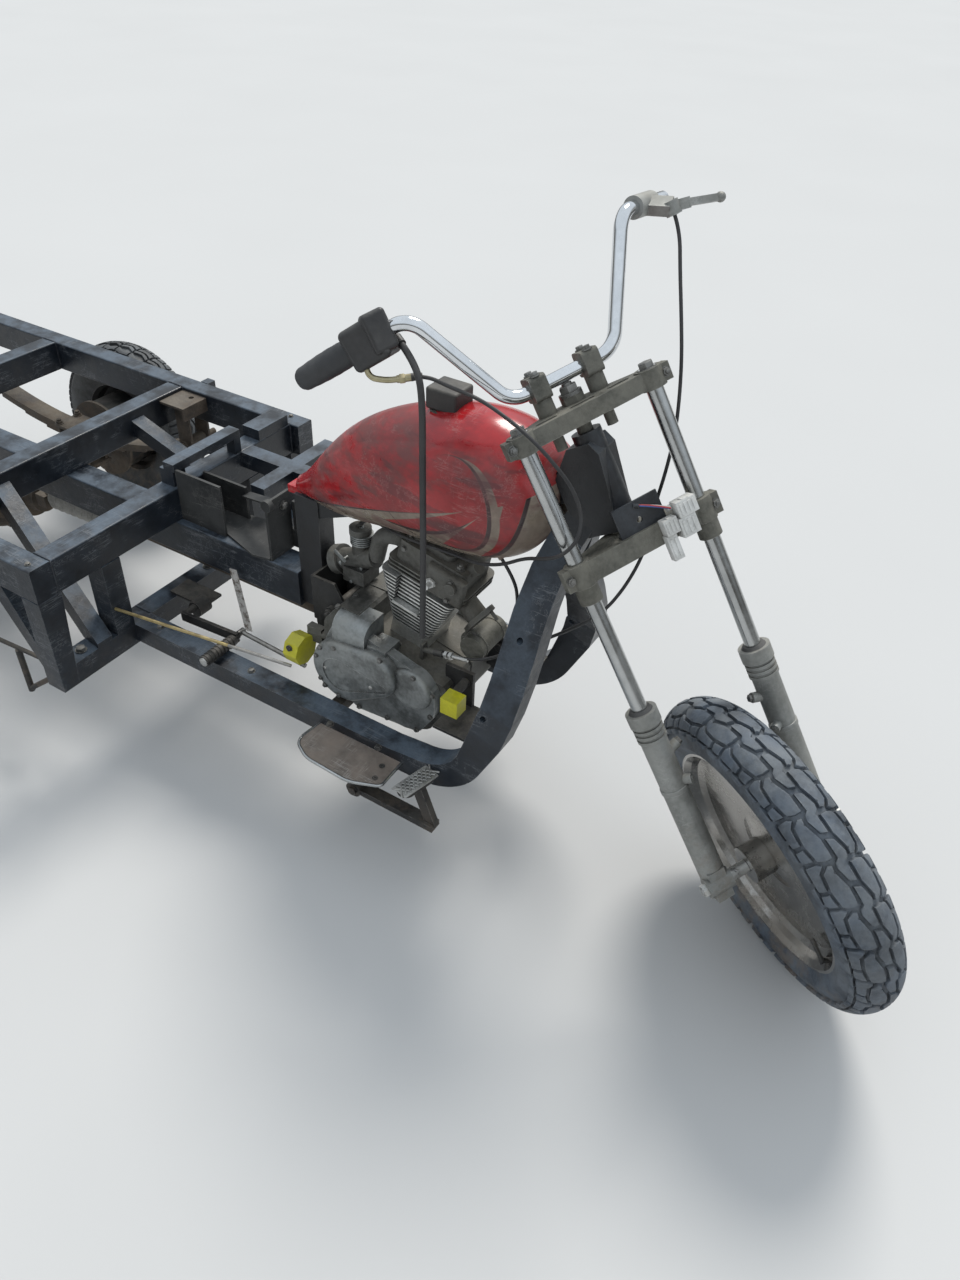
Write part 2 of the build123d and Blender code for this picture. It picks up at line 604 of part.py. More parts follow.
# Brake rods behind the right corner post, with the drop lever that joins them
rod_y = -rail_half_width + 28
cam_x = cross_rear_x - 126
brake_rod = rod((cam_x - 190, rod_y + 12, 218), (cross_rear_x - 56, rod_y, 258), 5)
drop_lever = rod((cam_x, rod_y, 246), (cam_x + 2, rod_y, 130), 7)
return_rod = rod((cam_x + 2, rod_y, 136), (cross_rear_x + 10, rod_y + 22, cross_bottom + 12), 6)
keep("brake_rods", brake_rod + drop_lever + return_rod - low_cross - outer_post - gusset)


# Engine: crankcase with a deck that leans with the cylinder
lean = math.radians(cylinder_lean)
barrel_axis = Vector(math.sin(lean), 0, math.cos(lean))
barrel = Plane(origin=(cylinder_base[0], 0, cylinder_base[1]), x_dir=(math.cos(lean), 0, -math.sin(lean)),
               z_dir=barrel_axis)


def deck_z(x):
    return cylinder_base[1] - (x - cylinder_base[0]) * math.tan(lean)


def barrel_point(along, up, y=0.0):
    """Point from the middle of the deck: forward along it, and up the cylinder."""
    return tuple(barrel.origin + barrel.x_dir * along + barrel.z_dir * up + Vector(0, y, 0))


case_front_x = 1488.0
deck_rear_x = 1298.0
case_points = [(1192, 300), (1212, 250), (1262, 236), (1400, 236), (1452, 262), (1486, 318),
               (case_front_x, deck_z(case_front_x)), (deck_rear_x, deck_z(deck_rear_x)), (1292, 478), (1238, 478),
               (1200, 430)]
case = side_plate(case_points, -crank_half_w, crank_half_w)
case = chamfer(case.edges().filter_by(Axis.Y), 6)
seam_lines = [(x + (2 if x > 1350 else -2), z + (2 if z > 350 else -2)) for x, z in case_points]
case = case + side_plate(seam_lines, -4, 4)


def hull_cover(x0, z0, r0, x1, z1, r1, y_start, depth, round_r):
    """Cover with the outline of two circles and their tangents, rounded at its outer edge."""
    plane = Plane(origin=(0, y_start, 0), x_dir=(1, 0, 0), z_dir=(0, -1, 0))
    outline = make_hull((Pos(x0, z0) * Circle(r0)).edges() + (Pos(x1, z1) * Circle(r1)).edges())
    body = extrude(plane * outline, amount=depth, dir=(0, -1, 0))
    rim = body.faces().sort_by(Axis.Y)[0].edges()
    return fillet(rim, round_r)


cover_depth = 45.0
cover_points = [(1222, 300), (1216, 400), (1238, 446), (1306, 452), (1366, 434), (1440, 414), (1478, 378), (1474, 318),
                (1440, 264), (1290, 252)]
cover_plate = side_plate(cover_points, -crank_half_w - 20, -crank_half_w)
cover_plate = chamfer(cover_plate.edges().filter_by(Axis.Y), 8)
big_cover = hull_cover(1268, 352, 70, 1345, 380, 52, -crank_half_w, cover_depth, 10)
recess_plane = Plane(origin=(0, -crank_half_w - cover_depth, 0), x_dir=(1, 0, 0), z_dir=(0, -1, 0))
recess = make_hull((Pos(1265, 346) * Circle(39)).edges() + (Pos(1371, 360) * Circle(9)).edges())
big_cover = big_cover - extrude(recess_plane * recess, amount=3, dir=(0, 1, 0))
clutch_boss = disc_y(1424, 372, 46, -crank_half_w - 30, -crank_half_w)
clutch_boss = fillet(clutch_boss.faces().sort_by(Axis.Y)[0].edges(), 9)
upper_cover = block(1245, 1322, -crank_half_w - 32, -62, 405, 476)
upper_edge = upper_cover.edges().filter_by(Axis.X).sort_by(Axis.Y)[:2].sort_by(Axis.Z)[-1]
upper_cover = fillet(upper_edge, 34) - case
square_boss = block(1326, 1368, -crank_half_w - 27, -74, 396, 438) - case
right_cover = cover_plate + big_cover + clutch_boss + upper_cover + square_boss
left_cover = mirrored(hull_cover(1262, 345, 72, 1400, 352, 70, -crank_half_w, cover_depth - 7, 10))
keep("engine_covers", right_cover, left_cover)

# Cylinder: fins grow towards the head, with a pocket in the upper ones on the right
fin_top = fin_start + fin_count * fin_pitch
core = Pos(0, 0, -10) * Box(84, 84, fin_top + 10, align=(Align.CENTER, Align.CENTER, Align.MIN))
fins = core
for i in range(fin_count):
    share = i / (fin_count - 1)
    half_x = fin_half_low[0] + (fin_half_top[0] - fin_half_low[0]) * share
    half_y = fin_half_low[1] + (fin_half_top[1] - fin_half_low[1]) * share
    blade = RectangleRounded(2 * half_x, 2 * half_y, 14)
    fins = fins + extrude(Pos(0, 0, fin_start + i * fin_pitch) * blade, amount=fin_t)
pocket_x = (-42.0, 16.0)
pocket_fin = 7
pocket_z = fin_start + pocket_fin * fin_pitch
fins = fins - block(*pocket_x, -reach, -46, pocket_z, fin_top)
fins = fins + block(*pocket_x, -fin_half_top[1] + 2, -40, pocket_z - fin_pitch, pocket_z - fin_pitch + 6)
cylinder = barrel.location * fins - case
keep("cylinder", cylinder)

head_x = (-62.0, 88.0)
head_half_y = 50.0
head_mid = (head_x[0] + head_x[1]) / 2
head_long = head_x[1] - head_x[0]
head_core = block(head_x[0], head_x[1], -head_half_y, head_half_y, fin_top, fin_top + head_len)
head = fillet(head_core.edges().filter_by(Axis.Z), 12)
for i in range(3):
    blade = Pos(head_mid, 0) * RectangleRounded(head_long + 24, 2 * head_half_y + 16, 14)
    head = head + extrude(Pos(0, 0, fin_top + 5 + i * fin_pitch) * blade, amount=fin_t)
cap_t = fin_top + head_len
head = head + extrude(Pos(head_mid - 10, 0, cap_t) * RectangleRounded(92, 78, 14), amount=12)
cam_cover = block(head_x[0] + 76, head_x[1] + 8, -head_half_y - 14, -head_half_y, fin_top + 4, cap_t - 6)
cam_cover = fillet(cam_cover.faces().sort_by(Axis.Y)[0].edges(), 8)
head = head + cam_cover
side_cap = Plane(origin=(head_x[1] - 16, -head_half_y - 14, cap_t - 26), z_dir=(0, -1, 0)).location * cyl(11, 0, 8)
tappet_cap = Plane(origin=(head_x[1] - 10, -20, cap_t - 10), z_dir=(0.6, 0, 0.8)).location * cyl(13, 0, 26)
rear_port = Plane(origin=(head_x[0] + 2, 0, fin_top + 30), z_dir=(-1, 0, 0.1)).location * cyl(20, 0, 24)
head = barrel.location * (head + side_cap + tappet_cap + rear_port)

# Exhaust port at the front of the head, its open flange with two studs
port_r = 21.0
port_bore = 15.0
port_flange_t = 9.0
stud_at = 36.0
port_start = Vector(1466, -20, 560)
port_end = Vector(1512, -27, 529)
port_plane = Plane(origin=port_end, x_dir=(0.56, 0, 0.83), z_dir=port_end - port_start)
flange_line = Circle(27).edges() + (Pos(stud_at, 0) * Circle(10)).edges() + (Pos(-stud_at, 0) * Circle(10)).edges()
port = rod(tuple(port_start), tuple(port_end), port_r)
port = port + port_plane.location * extrude(make_hull(flange_line), amount=port_flange_t)
port = port - port_plane.location * cyl(port_bore, -30, port_flange_t + 1)
for x in (-stud_at, stud_at):
    port = port + port_plane.location * Pos(x, 0, 0) * cyl(3.5, 0, port_flange_t + 20)
head = head + port - cylinder
keep("cylinder_head", head)

# Carburettor behind the head
port_mouth = Vector(*barrel_point(head_x[0] - 21, fin_top + 31))
carb_front = (1262.0, 0.0, 548.0)
carb_rear = (1182.0, 0.0, 514.0)
carb_x = (carb_front[0] + carb_rear[0]) / 2 + 4
carb_z = (carb_front[2] + carb_rear[2]) / 2
slide_top = carb_z + 74
manifold_points = [(port_mouth.X + 8, 0, port_mouth.Z), (port_mouth.X - 45, 0, port_mouth.Z - 10), carb_front]
carb = tube_along(manifold_points, 17.0, [40.0]) + rod(carb_front, carb_rear, 22)
carb = carb + rod((carb_x, 0, carb_z - 20), (carb_x, 0, slide_top - 14), 18)
carb = carb + rod((carb_x, 0, slide_top - 14), (carb_x, 0, slide_top), 22)
carb = carb + ferrule(throttle_route, 5, 16, at_end=True)
carb = carb + block(carb_x - 28, carb_x + 22, -26, 26, carb_z - 46, carb_z - 14)
carb = carb + rod(carb_rear, (carb_rear[0] - 18, 0, carb_rear[2] - 8), 30)
keep("carburettor", carb - head - cylinder - case - backbone)

# Engine plates, shelves and ties, and the two yellow caps
plate_gap = 48.0
rear_plate_points = [(1144, 487), (1144, 372), (1160, 328), (1249, 328), (1249, 360), (1222, 440), (1196, 487)]
rear_plate = side_plate(rear_plate_points, plate_gap, plate_gap + plate_t)
ear_web = block(1138, 1144, -plate_gap - plate_t, plate_gap + plate_t, centre_beam_bottom + 8, 487)
ear_bolt = disc_y(1190, 423, 10, -plate_gap - 16, plate_gap + 16)
rear_mount = rear_plate + mirrored(rear_plate) + ear_web + ear_bolt
rear_mount = rear_mount - case - backbone

front_shelf = block(1496, 1580, 60, low_rail_inner, 336, 342)
front_lug = block(1470, 1532, 60, 68, 342, 424)
front_bolt = disc_y(1516, 400, 9, 52, 118)
front_mount = (front_shelf + front_lug + front_bolt) - case - cradle
front_cap = block(1512, 1548, -150, -118, 384, 420)
cap_plane = Plane(origin=(1128, -114, 344), x_dir=(0, 1, 0), z_dir=(1, 0, 0))
rear_cap = extrude(cap_plane * RegularPolygon(33, 8), amount=34)
bush = rod((1150, -84, 372), (1240, -84, 384), 9) + block(1150, 1186, -92, -76, 354, 390)
anchor_len = 44.0
anchor = ferrule(clutch_route, 6, anchor_len, at_end=True) + block(1410, 1416, -66, -50, 400, 442)
keep("engine_crankcase", case + (bush - rear_cap) + anchor)
keep("yellow_caps", front_cap - front_mount - mirrored(front_mount), rear_cap)
low_tie = block(1236, 1262, -low_rail_inner, low_rail_inner, low_rail_bottom, low_rail_bottom + 24)
low_tie = low_tie - case - right_cover - left_cover
keep("engine_mounts", rear_mount, front_mount, mirrored(front_mount), low_tie)
keep("prop_shaft", yoke, rod(boot_end, shaft_end, shaft_r) - boot - case)

# Fuel tank
tank_rows = [
    # x, top, bottom, half width
    (1085.0, 672.0, 640.0, 16.0),
    (1170.0, 765.0, 645.0, 58.0),
    (1290.0, 865.0, 664.0, 97.0),
    (1430.0, 918.0, 684.0, 122.0),
    (1540.0, 926.0, 696.0, 126.0),
    (1610.0, 900.0, 724.0, 108.0),
    (1652.0, 842.0, 778.0, 52.0),
]
tank_faces = []
for x, top, low, half in tank_rows:
    tall = top - low
    shoulder = (0.66 * half, top - 0.16 * tall)
    wide = (half, low + 0.47 * tall)
    foot_pt = (0.55 * half, low)
    plane = Plane(origin=(x, 0, 0), x_dir=(0, 1, 0), z_dir=(1, 0, 0))
    edges = [
        ThreePointArc((-shoulder[0], shoulder[1]), (0, top), shoulder),
        ThreePointArc(shoulder, wide, foot_pt),
        Line(foot_pt, (-foot_pt[0], foot_pt[1])),
        ThreePointArc((-foot_pt[0], foot_pt[1]), (-wide[0], wide[1]), (-shoulder[0], shoulder[1])),
    ]
    tank_faces.append((plane * make_face(edges)).face())
tank = loft(tank_faces)
tunnel_gap = 3.0
tunnel_deep = 170.0
backbone_run = Vector(*backbone_top) - Vector(*backbone_low)
tunnel_drop = Vector(0, 0, backbone_h / 2 + 4 - tunnel_deep / 2)
tunnel_front = Vector(*backbone_top) + backbone_run * 0.2 + tunnel_drop
tunnel_rear = Vector(*backbone_low) - backbone_run * 0.2 + tunnel_drop
tunnel = bar(tuple(tunnel_front), tuple(tunnel_rear), backbone_w + 2 * tunnel_gap, tunnel_deep)
tank = tank - tunnel - neck_box - rise - mirrored(rise) - neck
tank = max(solids_of(tank), key=lambda s: s.volume)
cap_x = 1424.0
cap_base = 907.0
cap_half = 30.0
fuel_cap = Pos(cap_x, 0, cap_base - 14) * cyl(cap_half + 3, 0, 18)
cap_top = block(cap_x - cap_half, cap_x + cap_half, -cap_half + 2, cap_half - 2, cap_base + 4, cap_base + 42)
fuel_cap = fuel_cap + fillet(cap_top.edges(), 5)
keep("fuel_cap", fuel_cap - tank)
tail_tab = block(1062, 1096, -14, 14, 634, 650) - backbone
hose_tap = ferrule(hose_route, 5, 28)
keep("fuel_tank", tank + tail_tab + hose_tap)

# Front wheel, built about Z and turned so that the axle lies along the steering left axis
def tyre(radius, half_w, rim_r, rim_half, crown):
    plane = Plane(origin=(0, 0, 0), x_dir=(1, 0, 0), z_dir=(0, -1, 0))
    shoulder_r = radius - crown + math.sqrt(max(crown ** 2 - (half_w * 0.9) ** 2, 0))
    edges = [
        Line((rim_r - 8, -rim_half + 4), (rim_r + 4, -rim_half - 5)),
        ThreePointArc((rim_r + 4, -rim_half - 5), (0.5 * (rim_r + shoulder_r) + 2, -half_w), (shoulder_r, -half_w * 0.9)),
        ThreePointArc((shoulder_r, -half_w * 0.9), (radius, 0), (shoulder_r, half_w * 0.9)),
        ThreePointArc((shoulder_r, half_w * 0.9), (0.5 * (rim_r + shoulder_r) + 2, half_w), (rim_r + 4, rim_half + 5)),
        Line((rim_r + 4, rim_half + 5), (rim_r - 8, rim_half - 4)),
        Line((rim_r - 8, rim_half - 4), (rim_r - 8, -rim_half + 4)),
    ]
    return revolve(plane * make_face(edges), axis=Axis.Z)


wheel_spot = steer_point(wheel_offset, 0, 0)
wheel_plane = Plane(origin=wheel_spot, x_dir=turned_front, z_dir=turned_left)
front_tyre = tyre(front_tyre_r, front_tyre_half_w, front_rim_r - 6, front_rim_half_w, front_crown_r)
rim_lines = [
    (front_rim_r, front_rim_half_w), (front_rim_r, front_rim_half_w - 4), (front_rim_r - 14, front_rim_half_w - 8),
    (front_rim_r - 18, 14), (front_rim_r - 32, 8), (front_rim_r - 32, -8), (front_rim_r - 18, -14),
    (front_rim_r - 14, -front_rim_half_w + 8), (front_rim_r, -front_rim_half_w + 4),
    (front_rim_r, -front_rim_half_w), (front_rim_r - 12, -front_rim_half_w), (front_rim_r - 20, -front_rim_half_w + 10),
    (front_rim_r - 26, -18), (front_rim_r - 38, -10), (70, -5), (front_hub_r, -12), (front_hub_r, -52), (18, -52),
    (18, 52), (front_hub_r, 52), (front_hub_r, 12), (70, 1), (front_rim_r - 38, 2),
    (front_rim_r - 38, 10), (front_rim_r - 26, 18), (front_rim_r - 20, front_rim_half_w - 10),
    (front_rim_r - 12, front_rim_half_w),
]
front_rim = ring_profile(rim_lines)
bearing_ring = ring_profile([(18, -52), (18, 52), (front_axle_r + run_gap, 52), (front_axle_r + run_gap, -52)])
front_rim = front_rim + bearing_ring
front_tyre = front_tyre - front_rim
keep("front_rim", wheel_plane.location * front_rim)
keep("front_tyre", wheel_plane.location * front_tyre)

# Fork legs: sliders with axle eyes below, bright tubes above
bridge_low_top = neck_t - 6
bridge_low_t = (bridge_low_top - bridge_t, bridge_low_top)
bridge_up_t = (neck_t + neck_len + 20, neck_t + neck_len + 47)
tube_top = bridge_up_t[1] + 3


def leg(side):
    centre = side * leg_y
    slider = Pos(leg_offset, centre, 0) * cyl(slider_r, -26, slider_top)
    slider = fillet(slider.edges().sort_by(Axis.Z)[0], 8)
    collar = Pos(leg_offset, centre, 0) * cyl(slider_r + 4, slider_top - 6, slider_top + 18)
    for ring in range(3):
        low = slider_top - 16 - 10 * ring
        collar = collar + Pos(leg_offset, centre, 0) * cyl(slider_r + 2.5, low, low + 5)
    eye = Plane(origin=(wheel_offset, centre - side * 24, 0), z_dir=(0, side, 0)).location * cyl(19, 0, 24.5 + slider_r)
    flat = block(leg_offset - 20, wheel_offset + 12, centre - 16, centre + 16, -30, 30)
    boss = Plane(origin=(leg_offset, centre, 262), z_dir=(0, -side, 0.35)).location * cyl(9, 0, 38)
    rear_boss = Plane(origin=(leg_offset, centre, 236), z_dir=(-1, 0, 0)).location * cyl(8, 0, 32)
    bore = Plane(origin=(wheel_offset, centre - side * 40, 0), z_dir=(0, side, 0)).location * cyl(front_axle_r, 0, 80)
    tube = Pos(leg_offset, centre, 0) * cyl(leg_tube_r, slider_top + 18, tube_top)
    return slider + collar + eye + flat + boss + rear_boss - bore, tube


left_slider, left_tube = leg(1)
right_slider, right_tube = leg(-1)
keep("fork_sliders", steered(left_slider), steered(right_slider))
keep("fork_tubes", steered(left_tube), steered(right_tube))
axle_half = leg_y + 34
wheel_axle = Plane(origin=(wheel_offset, -axle_half, 0), z_dir=(0, 1, 0)).location * cyl(front_axle_r, 0, 2 * axle_half)
nut_r = 12.0
for side in (-1, 1):
    nut = extrude(RegularPolygon(nut_r, 6), amount=9)
    wheel_axle = wheel_axle + Plane(origin=(wheel_offset, side * (leg_y + slider_r + 0.5), 0), z_dir=(0, side, 0)).location * nut
    spacer = Plane(origin=(wheel_offset, side * 52.5, 0), z_dir=(0, side, 0)).location * cyl(12, 0, leg_y - 24 - 52.5)
    wheel_axle = wheel_axle + spacer
keep("front_axle", steered(wheel_axle))

# Bridges, stem and bar mounts
clamp_r = 21.0


def bridge(t0, t1, nose):
    web = Polygon((nose, -leg_y + 12), (nose, leg_y - 12), (18, leg_y - 8), (-20, 30), (-20, -30), (18, -leg_y + 8),
                  align=None)
    body = extrude(Pos(0, 0, t0) * web, amount=t1 - t0)
    for side in (-1, 1):
        body = body + Pos(leg_offset, side * leg_y, 0) * cyl(clamp_r, t0 - 2, t1 + 2)
        ear_y = (side * (leg_y + clamp_r - 6), side * (leg_y + clamp_r + 9))
        body = body + block(leg_offset - 11, leg_offset + 11, *ear_y, t0, t1)
    return body


low_nose = 58.0
low_bridge = bridge(*bridge_low_t, low_nose)
low_bridge = low_bridge + cyl(23, bridge_low_t[1], neck_t - 1)
for side in (-1, 1):
    low_bridge = low_bridge + Pos(leg_offset, side * leg_y, 0) * cyl(19, bridge_low_t[0] - 30, bridge_low_t[0])
stem = cyl(stem_r, bridge_low_t[0] - 6, bridge_up_t[1] + 14)
low_bridge = low_bridge - left_tube - right_tube
low_bridge = low_bridge + stem
keep("lower_bridge", steered(low_bridge))

top_bridge = bridge(*bridge_up_t, low_nose - 4)
for slot_y in (-62, 0, 62):
    slot = Pos(34, slot_y, 0) * SlotOverall(38 if slot_y else 44, 12, rotation=90)
    top_bridge = top_bridge - extrude(Pos(0, 0, bridge_up_t[0] - 5) * slot, amount=60)
bar_t = neck_t + neck_len + bar_height
for side in (-1, 1):
    stud = Pos(0, side * riser_y, 0) * cyl(9, bridge_up_t[0] - 30, bridge_up_t[0])
    column = Pos(0, side * riser_y, 0) * cyl(15, bridge_up_t[1], bar_t - 8)
    clamp = block(-20, 20, side * riser_y - 14, side * riser_y + 14, bar_t - 18, bar_t + 20)
    clamp = fillet(clamp.edges().filter_by(Axis.Y), 6)
    top_bridge = top_bridge + stud + column + clamp
stem_nut = extrude(Pos(0, 0, bridge_up_t[1]) * RegularPolygon(19, 6), amount=13)
knee = (0, 178, bar_t + 172)
right_end = (-128, 340, bar_t + 156)
bar_bends = (36.0, 42.0, 42.0, 36.0)
left_end_y = 290.0
left_share = (left_end_y - knee[1]) / (right_end[1] - knee[1])
left_end = tuple(near + (far - near) * left_share for near, far in zip(knee, right_end))
bar_points = [(right_end[0], -right_end[1], right_end[2]), (0, -knee[1], knee[2]), (0, -2 * riser_y, bar_t),
              (0, 2 * riser_y, bar_t), knee, left_end]
handlebar = tube_along(bar_points, bar_r, list(bar_bends))
bar_core = rod((0, -2 * riser_y, bar_t), (0, 2 * riser_y, bar_t), bar_r)
top_bridge = top_bridge - handlebar - bar_core - left_tube - right_tube - stem
top_bridge = top_bridge + (stem_nut - stem)
keep("top_bridge", steered(top_bridge))
keep("handlebar", steered(handlebar))

# Controls on the bar
right_tip = Vector(*bar_points[0])
right_knee = Vector(*bar_points[1])
grip_dir = (right_tip - right_knee).normalized()
grip_r = 17.0
flange_t = 7.0


def on_right(back_from_tip):
    return right_tip - grip_dir * back_from_tip


grip_start = on_right(grip_len)
grip = rod(tuple(grip_start), tuple(right_tip + grip_dir * 4), grip_r)
grip = fillet(grip.edges().sort_by(Axis.Y)[0], 6)
flange = rod(tuple(on_right(grip_len + flange_t)), tuple(grip_start), grip_r + 7)
keep("grip_right", steered((grip + flange) - handlebar))

# Switch and throttle housing, with the brass elbow under it
housing_len = 66.0
housing_mid = on_right(grip_len + flange_t + housing_len / 2)
housing_plane = Plane(origin=housing_mid, x_dir=(0, 0, 1), z_dir=grip_dir)
switch_body = fillet((housing_plane.location * Pos(-2, 0, 0) * Box(64, 52, housing_len)).edges(), 9)
switch_nose = Pos(housing_mid.X + 24, housing_mid.Y + 14, housing_mid.Z + 6) * Box(30, 38, 60)
switch_body = switch_body + fillet(switch_nose.edges(), 7)
switch_body = switch_body - handlebar - rod(tuple(on_right(grip_len + flange_t)), tuple(right_tip), 60)
switch_body = steered(switch_body)
keep("switch_housing", switch_body + ferrule(loom_route, loom_r + 2, 16))
elbow_r = 4.5
elbow_end = Vector(*throttle_route[0])
elbow_run = (elbow_end - Vector(*throttle_route[1])).normalized()
elbow_points = [tuple(steer_point(-44, -256, 1028)), tuple(steer_point(-38, -259, 1008)),
                tuple(elbow_end + elbow_run * 34), tuple(elbow_end)]
elbow = tube_along(elbow_points, elbow_r, cord_radii(elbow_points))
keep("throttle_elbow", elbow - switch_body)

# Clutch perch and its ball-ended lever
left_tip = Vector(*left_end)
left_dir = (left_tip - Vector(*knee)).normalized()
perch_r = 17.0
perch_ends = (104.0, 44.0)
lever_pivot = Vector(-14, 262, bar_t + 146)
lever_knee = lever_pivot + Vector(5, 27, -5)
lever_ball = lever_pivot + Vector(-6, 83, -19)
perch_mid = left_tip - left_dir * (sum(perch_ends) / 2)
perch = rod(tuple(left_tip - left_dir * perch_ends[0]), tuple(left_tip - left_dir * perch_ends[1]), perch_r)
perch = perch + bar(tuple(perch_mid), tuple(lever_pivot), 26, 18)
perch = perch + Pos(lever_pivot.X, lever_pivot.Y, 0) * cyl(12, lever_pivot.Z - 12, lever_pivot.Z + 9)
perch = perch - handlebar
clutch_lever = bar(tuple(lever_pivot), tuple(lever_knee), 16, 9, side=(0, 0, 1))
lever_run = (lever_ball - lever_knee).normalized()
clutch_lever = clutch_lever + bar(tuple(lever_knee - lever_run * 4), tuple(lever_ball), 11, 7, side=(0, 0, 1))
clutch_lever = clutch_lever + Pos(*tuple(lever_ball)) * Sphere(8)
cable_barrel = ferrule(clutch_route, 6, 14)
keep("clutch_lever", steered(perch) + cable_barrel, steered(clutch_lever - perch) - cable_barrel)

# Lamp plate on the lower bridge, and the plugs that hang in front of it
plate_n = (46.0, 50.0)
plate_a = (-30.0, 50.0)
plate_hole = (8.0, bridge_low_top + 17)
plate_hole_r = 5.0
lamp_plate = block(*plate_n, *plate_a, bridge_low_top, bridge_low_top + 48)
lamp_plate = lamp_plate + block(36, plate_n[1], *plate_a, bridge_low_top, bridge_low_top + 4)
lamp_plate = lamp_plate - Plane(origin=(30, *plate_hole), z_dir=(1, 0, 0)).location * cyl(plate_hole_r, 0, 40)
keep("lamp_bracket", steered(lamp_plate) + ferrule(wires_route, 4, 8))
plug_rows = [
    # depth forward, left edges, lower and upper face above the bridge
    (24, 58, 92, -4, 22),
    (22, 54, 84, -36, -4),
    (20, 30, 54, -22, 4),
    (16, 28, 46, -64, -22),
]
plugs = None
for deep, a0, a1, t0, t1 in plug_rows:
    plug = block(low_nose, low_nose + deep, a0, a1, bridge_low_top + t0, bridge_low_top + t1)
    plugs = plug if plugs is None else plugs + plug
keep("plugs", steered(plugs) + ferrule(wires_route, 4, 10, at_end=True))

# Rear wheels
def rear_wheel_parts():
    lines = [
        (rear_rim_r, rear_rim_half_w), (rear_rim_r, rear_rim_half_w - 5), (rear_rim_r - 13, rear_rim_half_w - 9),
        (rear_rim_r - 16, 16), (rear_rim_r - 30, 8), (rear_rim_r - 30, -8), (rear_rim_r - 16, -16),
        (rear_rim_r - 13, -rear_rim_half_w + 9), (rear_rim_r, -rear_rim_half_w + 5), (rear_rim_r, -rear_rim_half_w),
        (rear_rim_r - 10, -rear_rim_half_w), (rear_rim_r - 18, -rear_rim_half_w + 12), (rear_rim_r - 22, -18),
        (rear_rim_r - 36, -10), (rear_rim_r - 36, 4), (64, 14), (20, 14), (20, 20), (64, 20),
        (rear_rim_r - 36, 10), (rear_rim_r - 22, 18), (rear_rim_r - 18, rear_rim_half_w - 12),
        (rear_rim_r - 10, rear_rim_half_w),
    ]
    disc = ring_profile(lines)
    cap = cyl(26, 14, 52)
    drum_in = axle_tube_end + 12 - rear_wheel_y
    drum = cyl(drum_r - 8, drum_in, 12) - cyl(drum_r - 14, drum_in - 1, 0)
    shaft = cyl(half_shaft_r, axle_tube_end - 38 - rear_wheel_y, 20)
    studs = None
    for i in range(5):
        angle = math.radians(72 * i + 18)
        nut = Pos(48 * math.cos(angle), 48 * math.sin(angle), 20) * cyl(9, 0, 10)
        studs = nut if studs is None else studs + nut
    rim = disc + cap + drum + shaft + studs + cyl(22, 10, 22)
    return rim


rear_rim = rear_wheel_parts()
rear_tyre = tyre(rear_tyre_r, rear_tyre_half_w, rear_rim_r - 4, rear_rim_half_w, 90.0) - rear_rim
for name, side in (("left", 1), ("right", -1)):
    hub_plane = Plane(origin=(rear_axle_x, side * rear_wheel_y, axle_z), x_dir=(1, 0, 0), z_dir=(0, side, 0))
    keep("rear_rim_" + name, hub_plane.location * rear_rim)
    keep("rear_tyre_" + name, hub_plane.location * rear_tyre)

# Cords: plain tubes along their centre lines
cord_list = (
    ("throttle_cable", cable_r, throttle_route),
    ("clutch_cable", cable_r, clutch_route),
    ("switch_loom", loom_r, loom_route),
    ("vent_hose", hose_r, hose_route),
    ("plug_wires", wires_r, wires_route),
)
for name, radius, route in cord_list:
    radii = cord_radii(route)
    cord = keep(name, tube_along(route, radius, radii))
    print(name, "radii", [round(r) for r in radii])
    print("  length", round(cord.volume / (math.pi * radius ** 2)), "least bend", round(min(radii) / (2 * radius), 1))

# Every piece is moved back so that the origin lies under the middle of the whole length
middle_x = (nodes["front_tyre"].bounding_box().max.X + rail_rear_x) / 2
print("middle_x", round(middle_x, 3))
for name, shape in nodes.items():
    export_step(Pos(-middle_x, 0, 0) * shape, "parts/" + name + ".step")
    parts = shape.solids()
    print(name, len(parts), round(sum(s.volume for s in parts) / 1000.0, 1))
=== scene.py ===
import json
import math

import bmesh
import bpy
from mathutils import Matrix, Vector


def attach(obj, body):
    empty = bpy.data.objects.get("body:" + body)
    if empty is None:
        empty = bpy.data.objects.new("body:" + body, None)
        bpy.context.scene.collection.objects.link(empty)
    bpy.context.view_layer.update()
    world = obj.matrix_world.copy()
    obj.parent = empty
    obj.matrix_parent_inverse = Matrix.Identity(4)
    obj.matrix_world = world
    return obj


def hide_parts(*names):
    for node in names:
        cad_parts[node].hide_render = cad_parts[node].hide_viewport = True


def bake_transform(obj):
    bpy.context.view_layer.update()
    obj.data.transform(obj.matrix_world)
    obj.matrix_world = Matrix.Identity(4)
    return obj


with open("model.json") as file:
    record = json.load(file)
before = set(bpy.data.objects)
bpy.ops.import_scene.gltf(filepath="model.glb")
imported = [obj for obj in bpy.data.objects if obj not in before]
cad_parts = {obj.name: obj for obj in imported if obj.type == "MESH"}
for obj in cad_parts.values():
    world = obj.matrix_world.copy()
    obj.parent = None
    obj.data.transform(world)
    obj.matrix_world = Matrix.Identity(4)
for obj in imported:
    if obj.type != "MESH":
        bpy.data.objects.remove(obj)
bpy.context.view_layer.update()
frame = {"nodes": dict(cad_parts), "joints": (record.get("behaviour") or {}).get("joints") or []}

nodes = frame["nodes"]

# The drawing's zero lies just ahead of the rear axle, and the frame's zero under the middle of the length
middle_x = 0.896978


def spot(x, y, z):
    """Point given in the drawing's own numbers."""
    return Vector((x - middle_x, y, z))


def placed(name, data):
    """Adds an object to the scene."""
    made = bpy.data.objects.new(name, data)
    bpy.context.scene.collection.objects.link(made)
    return made


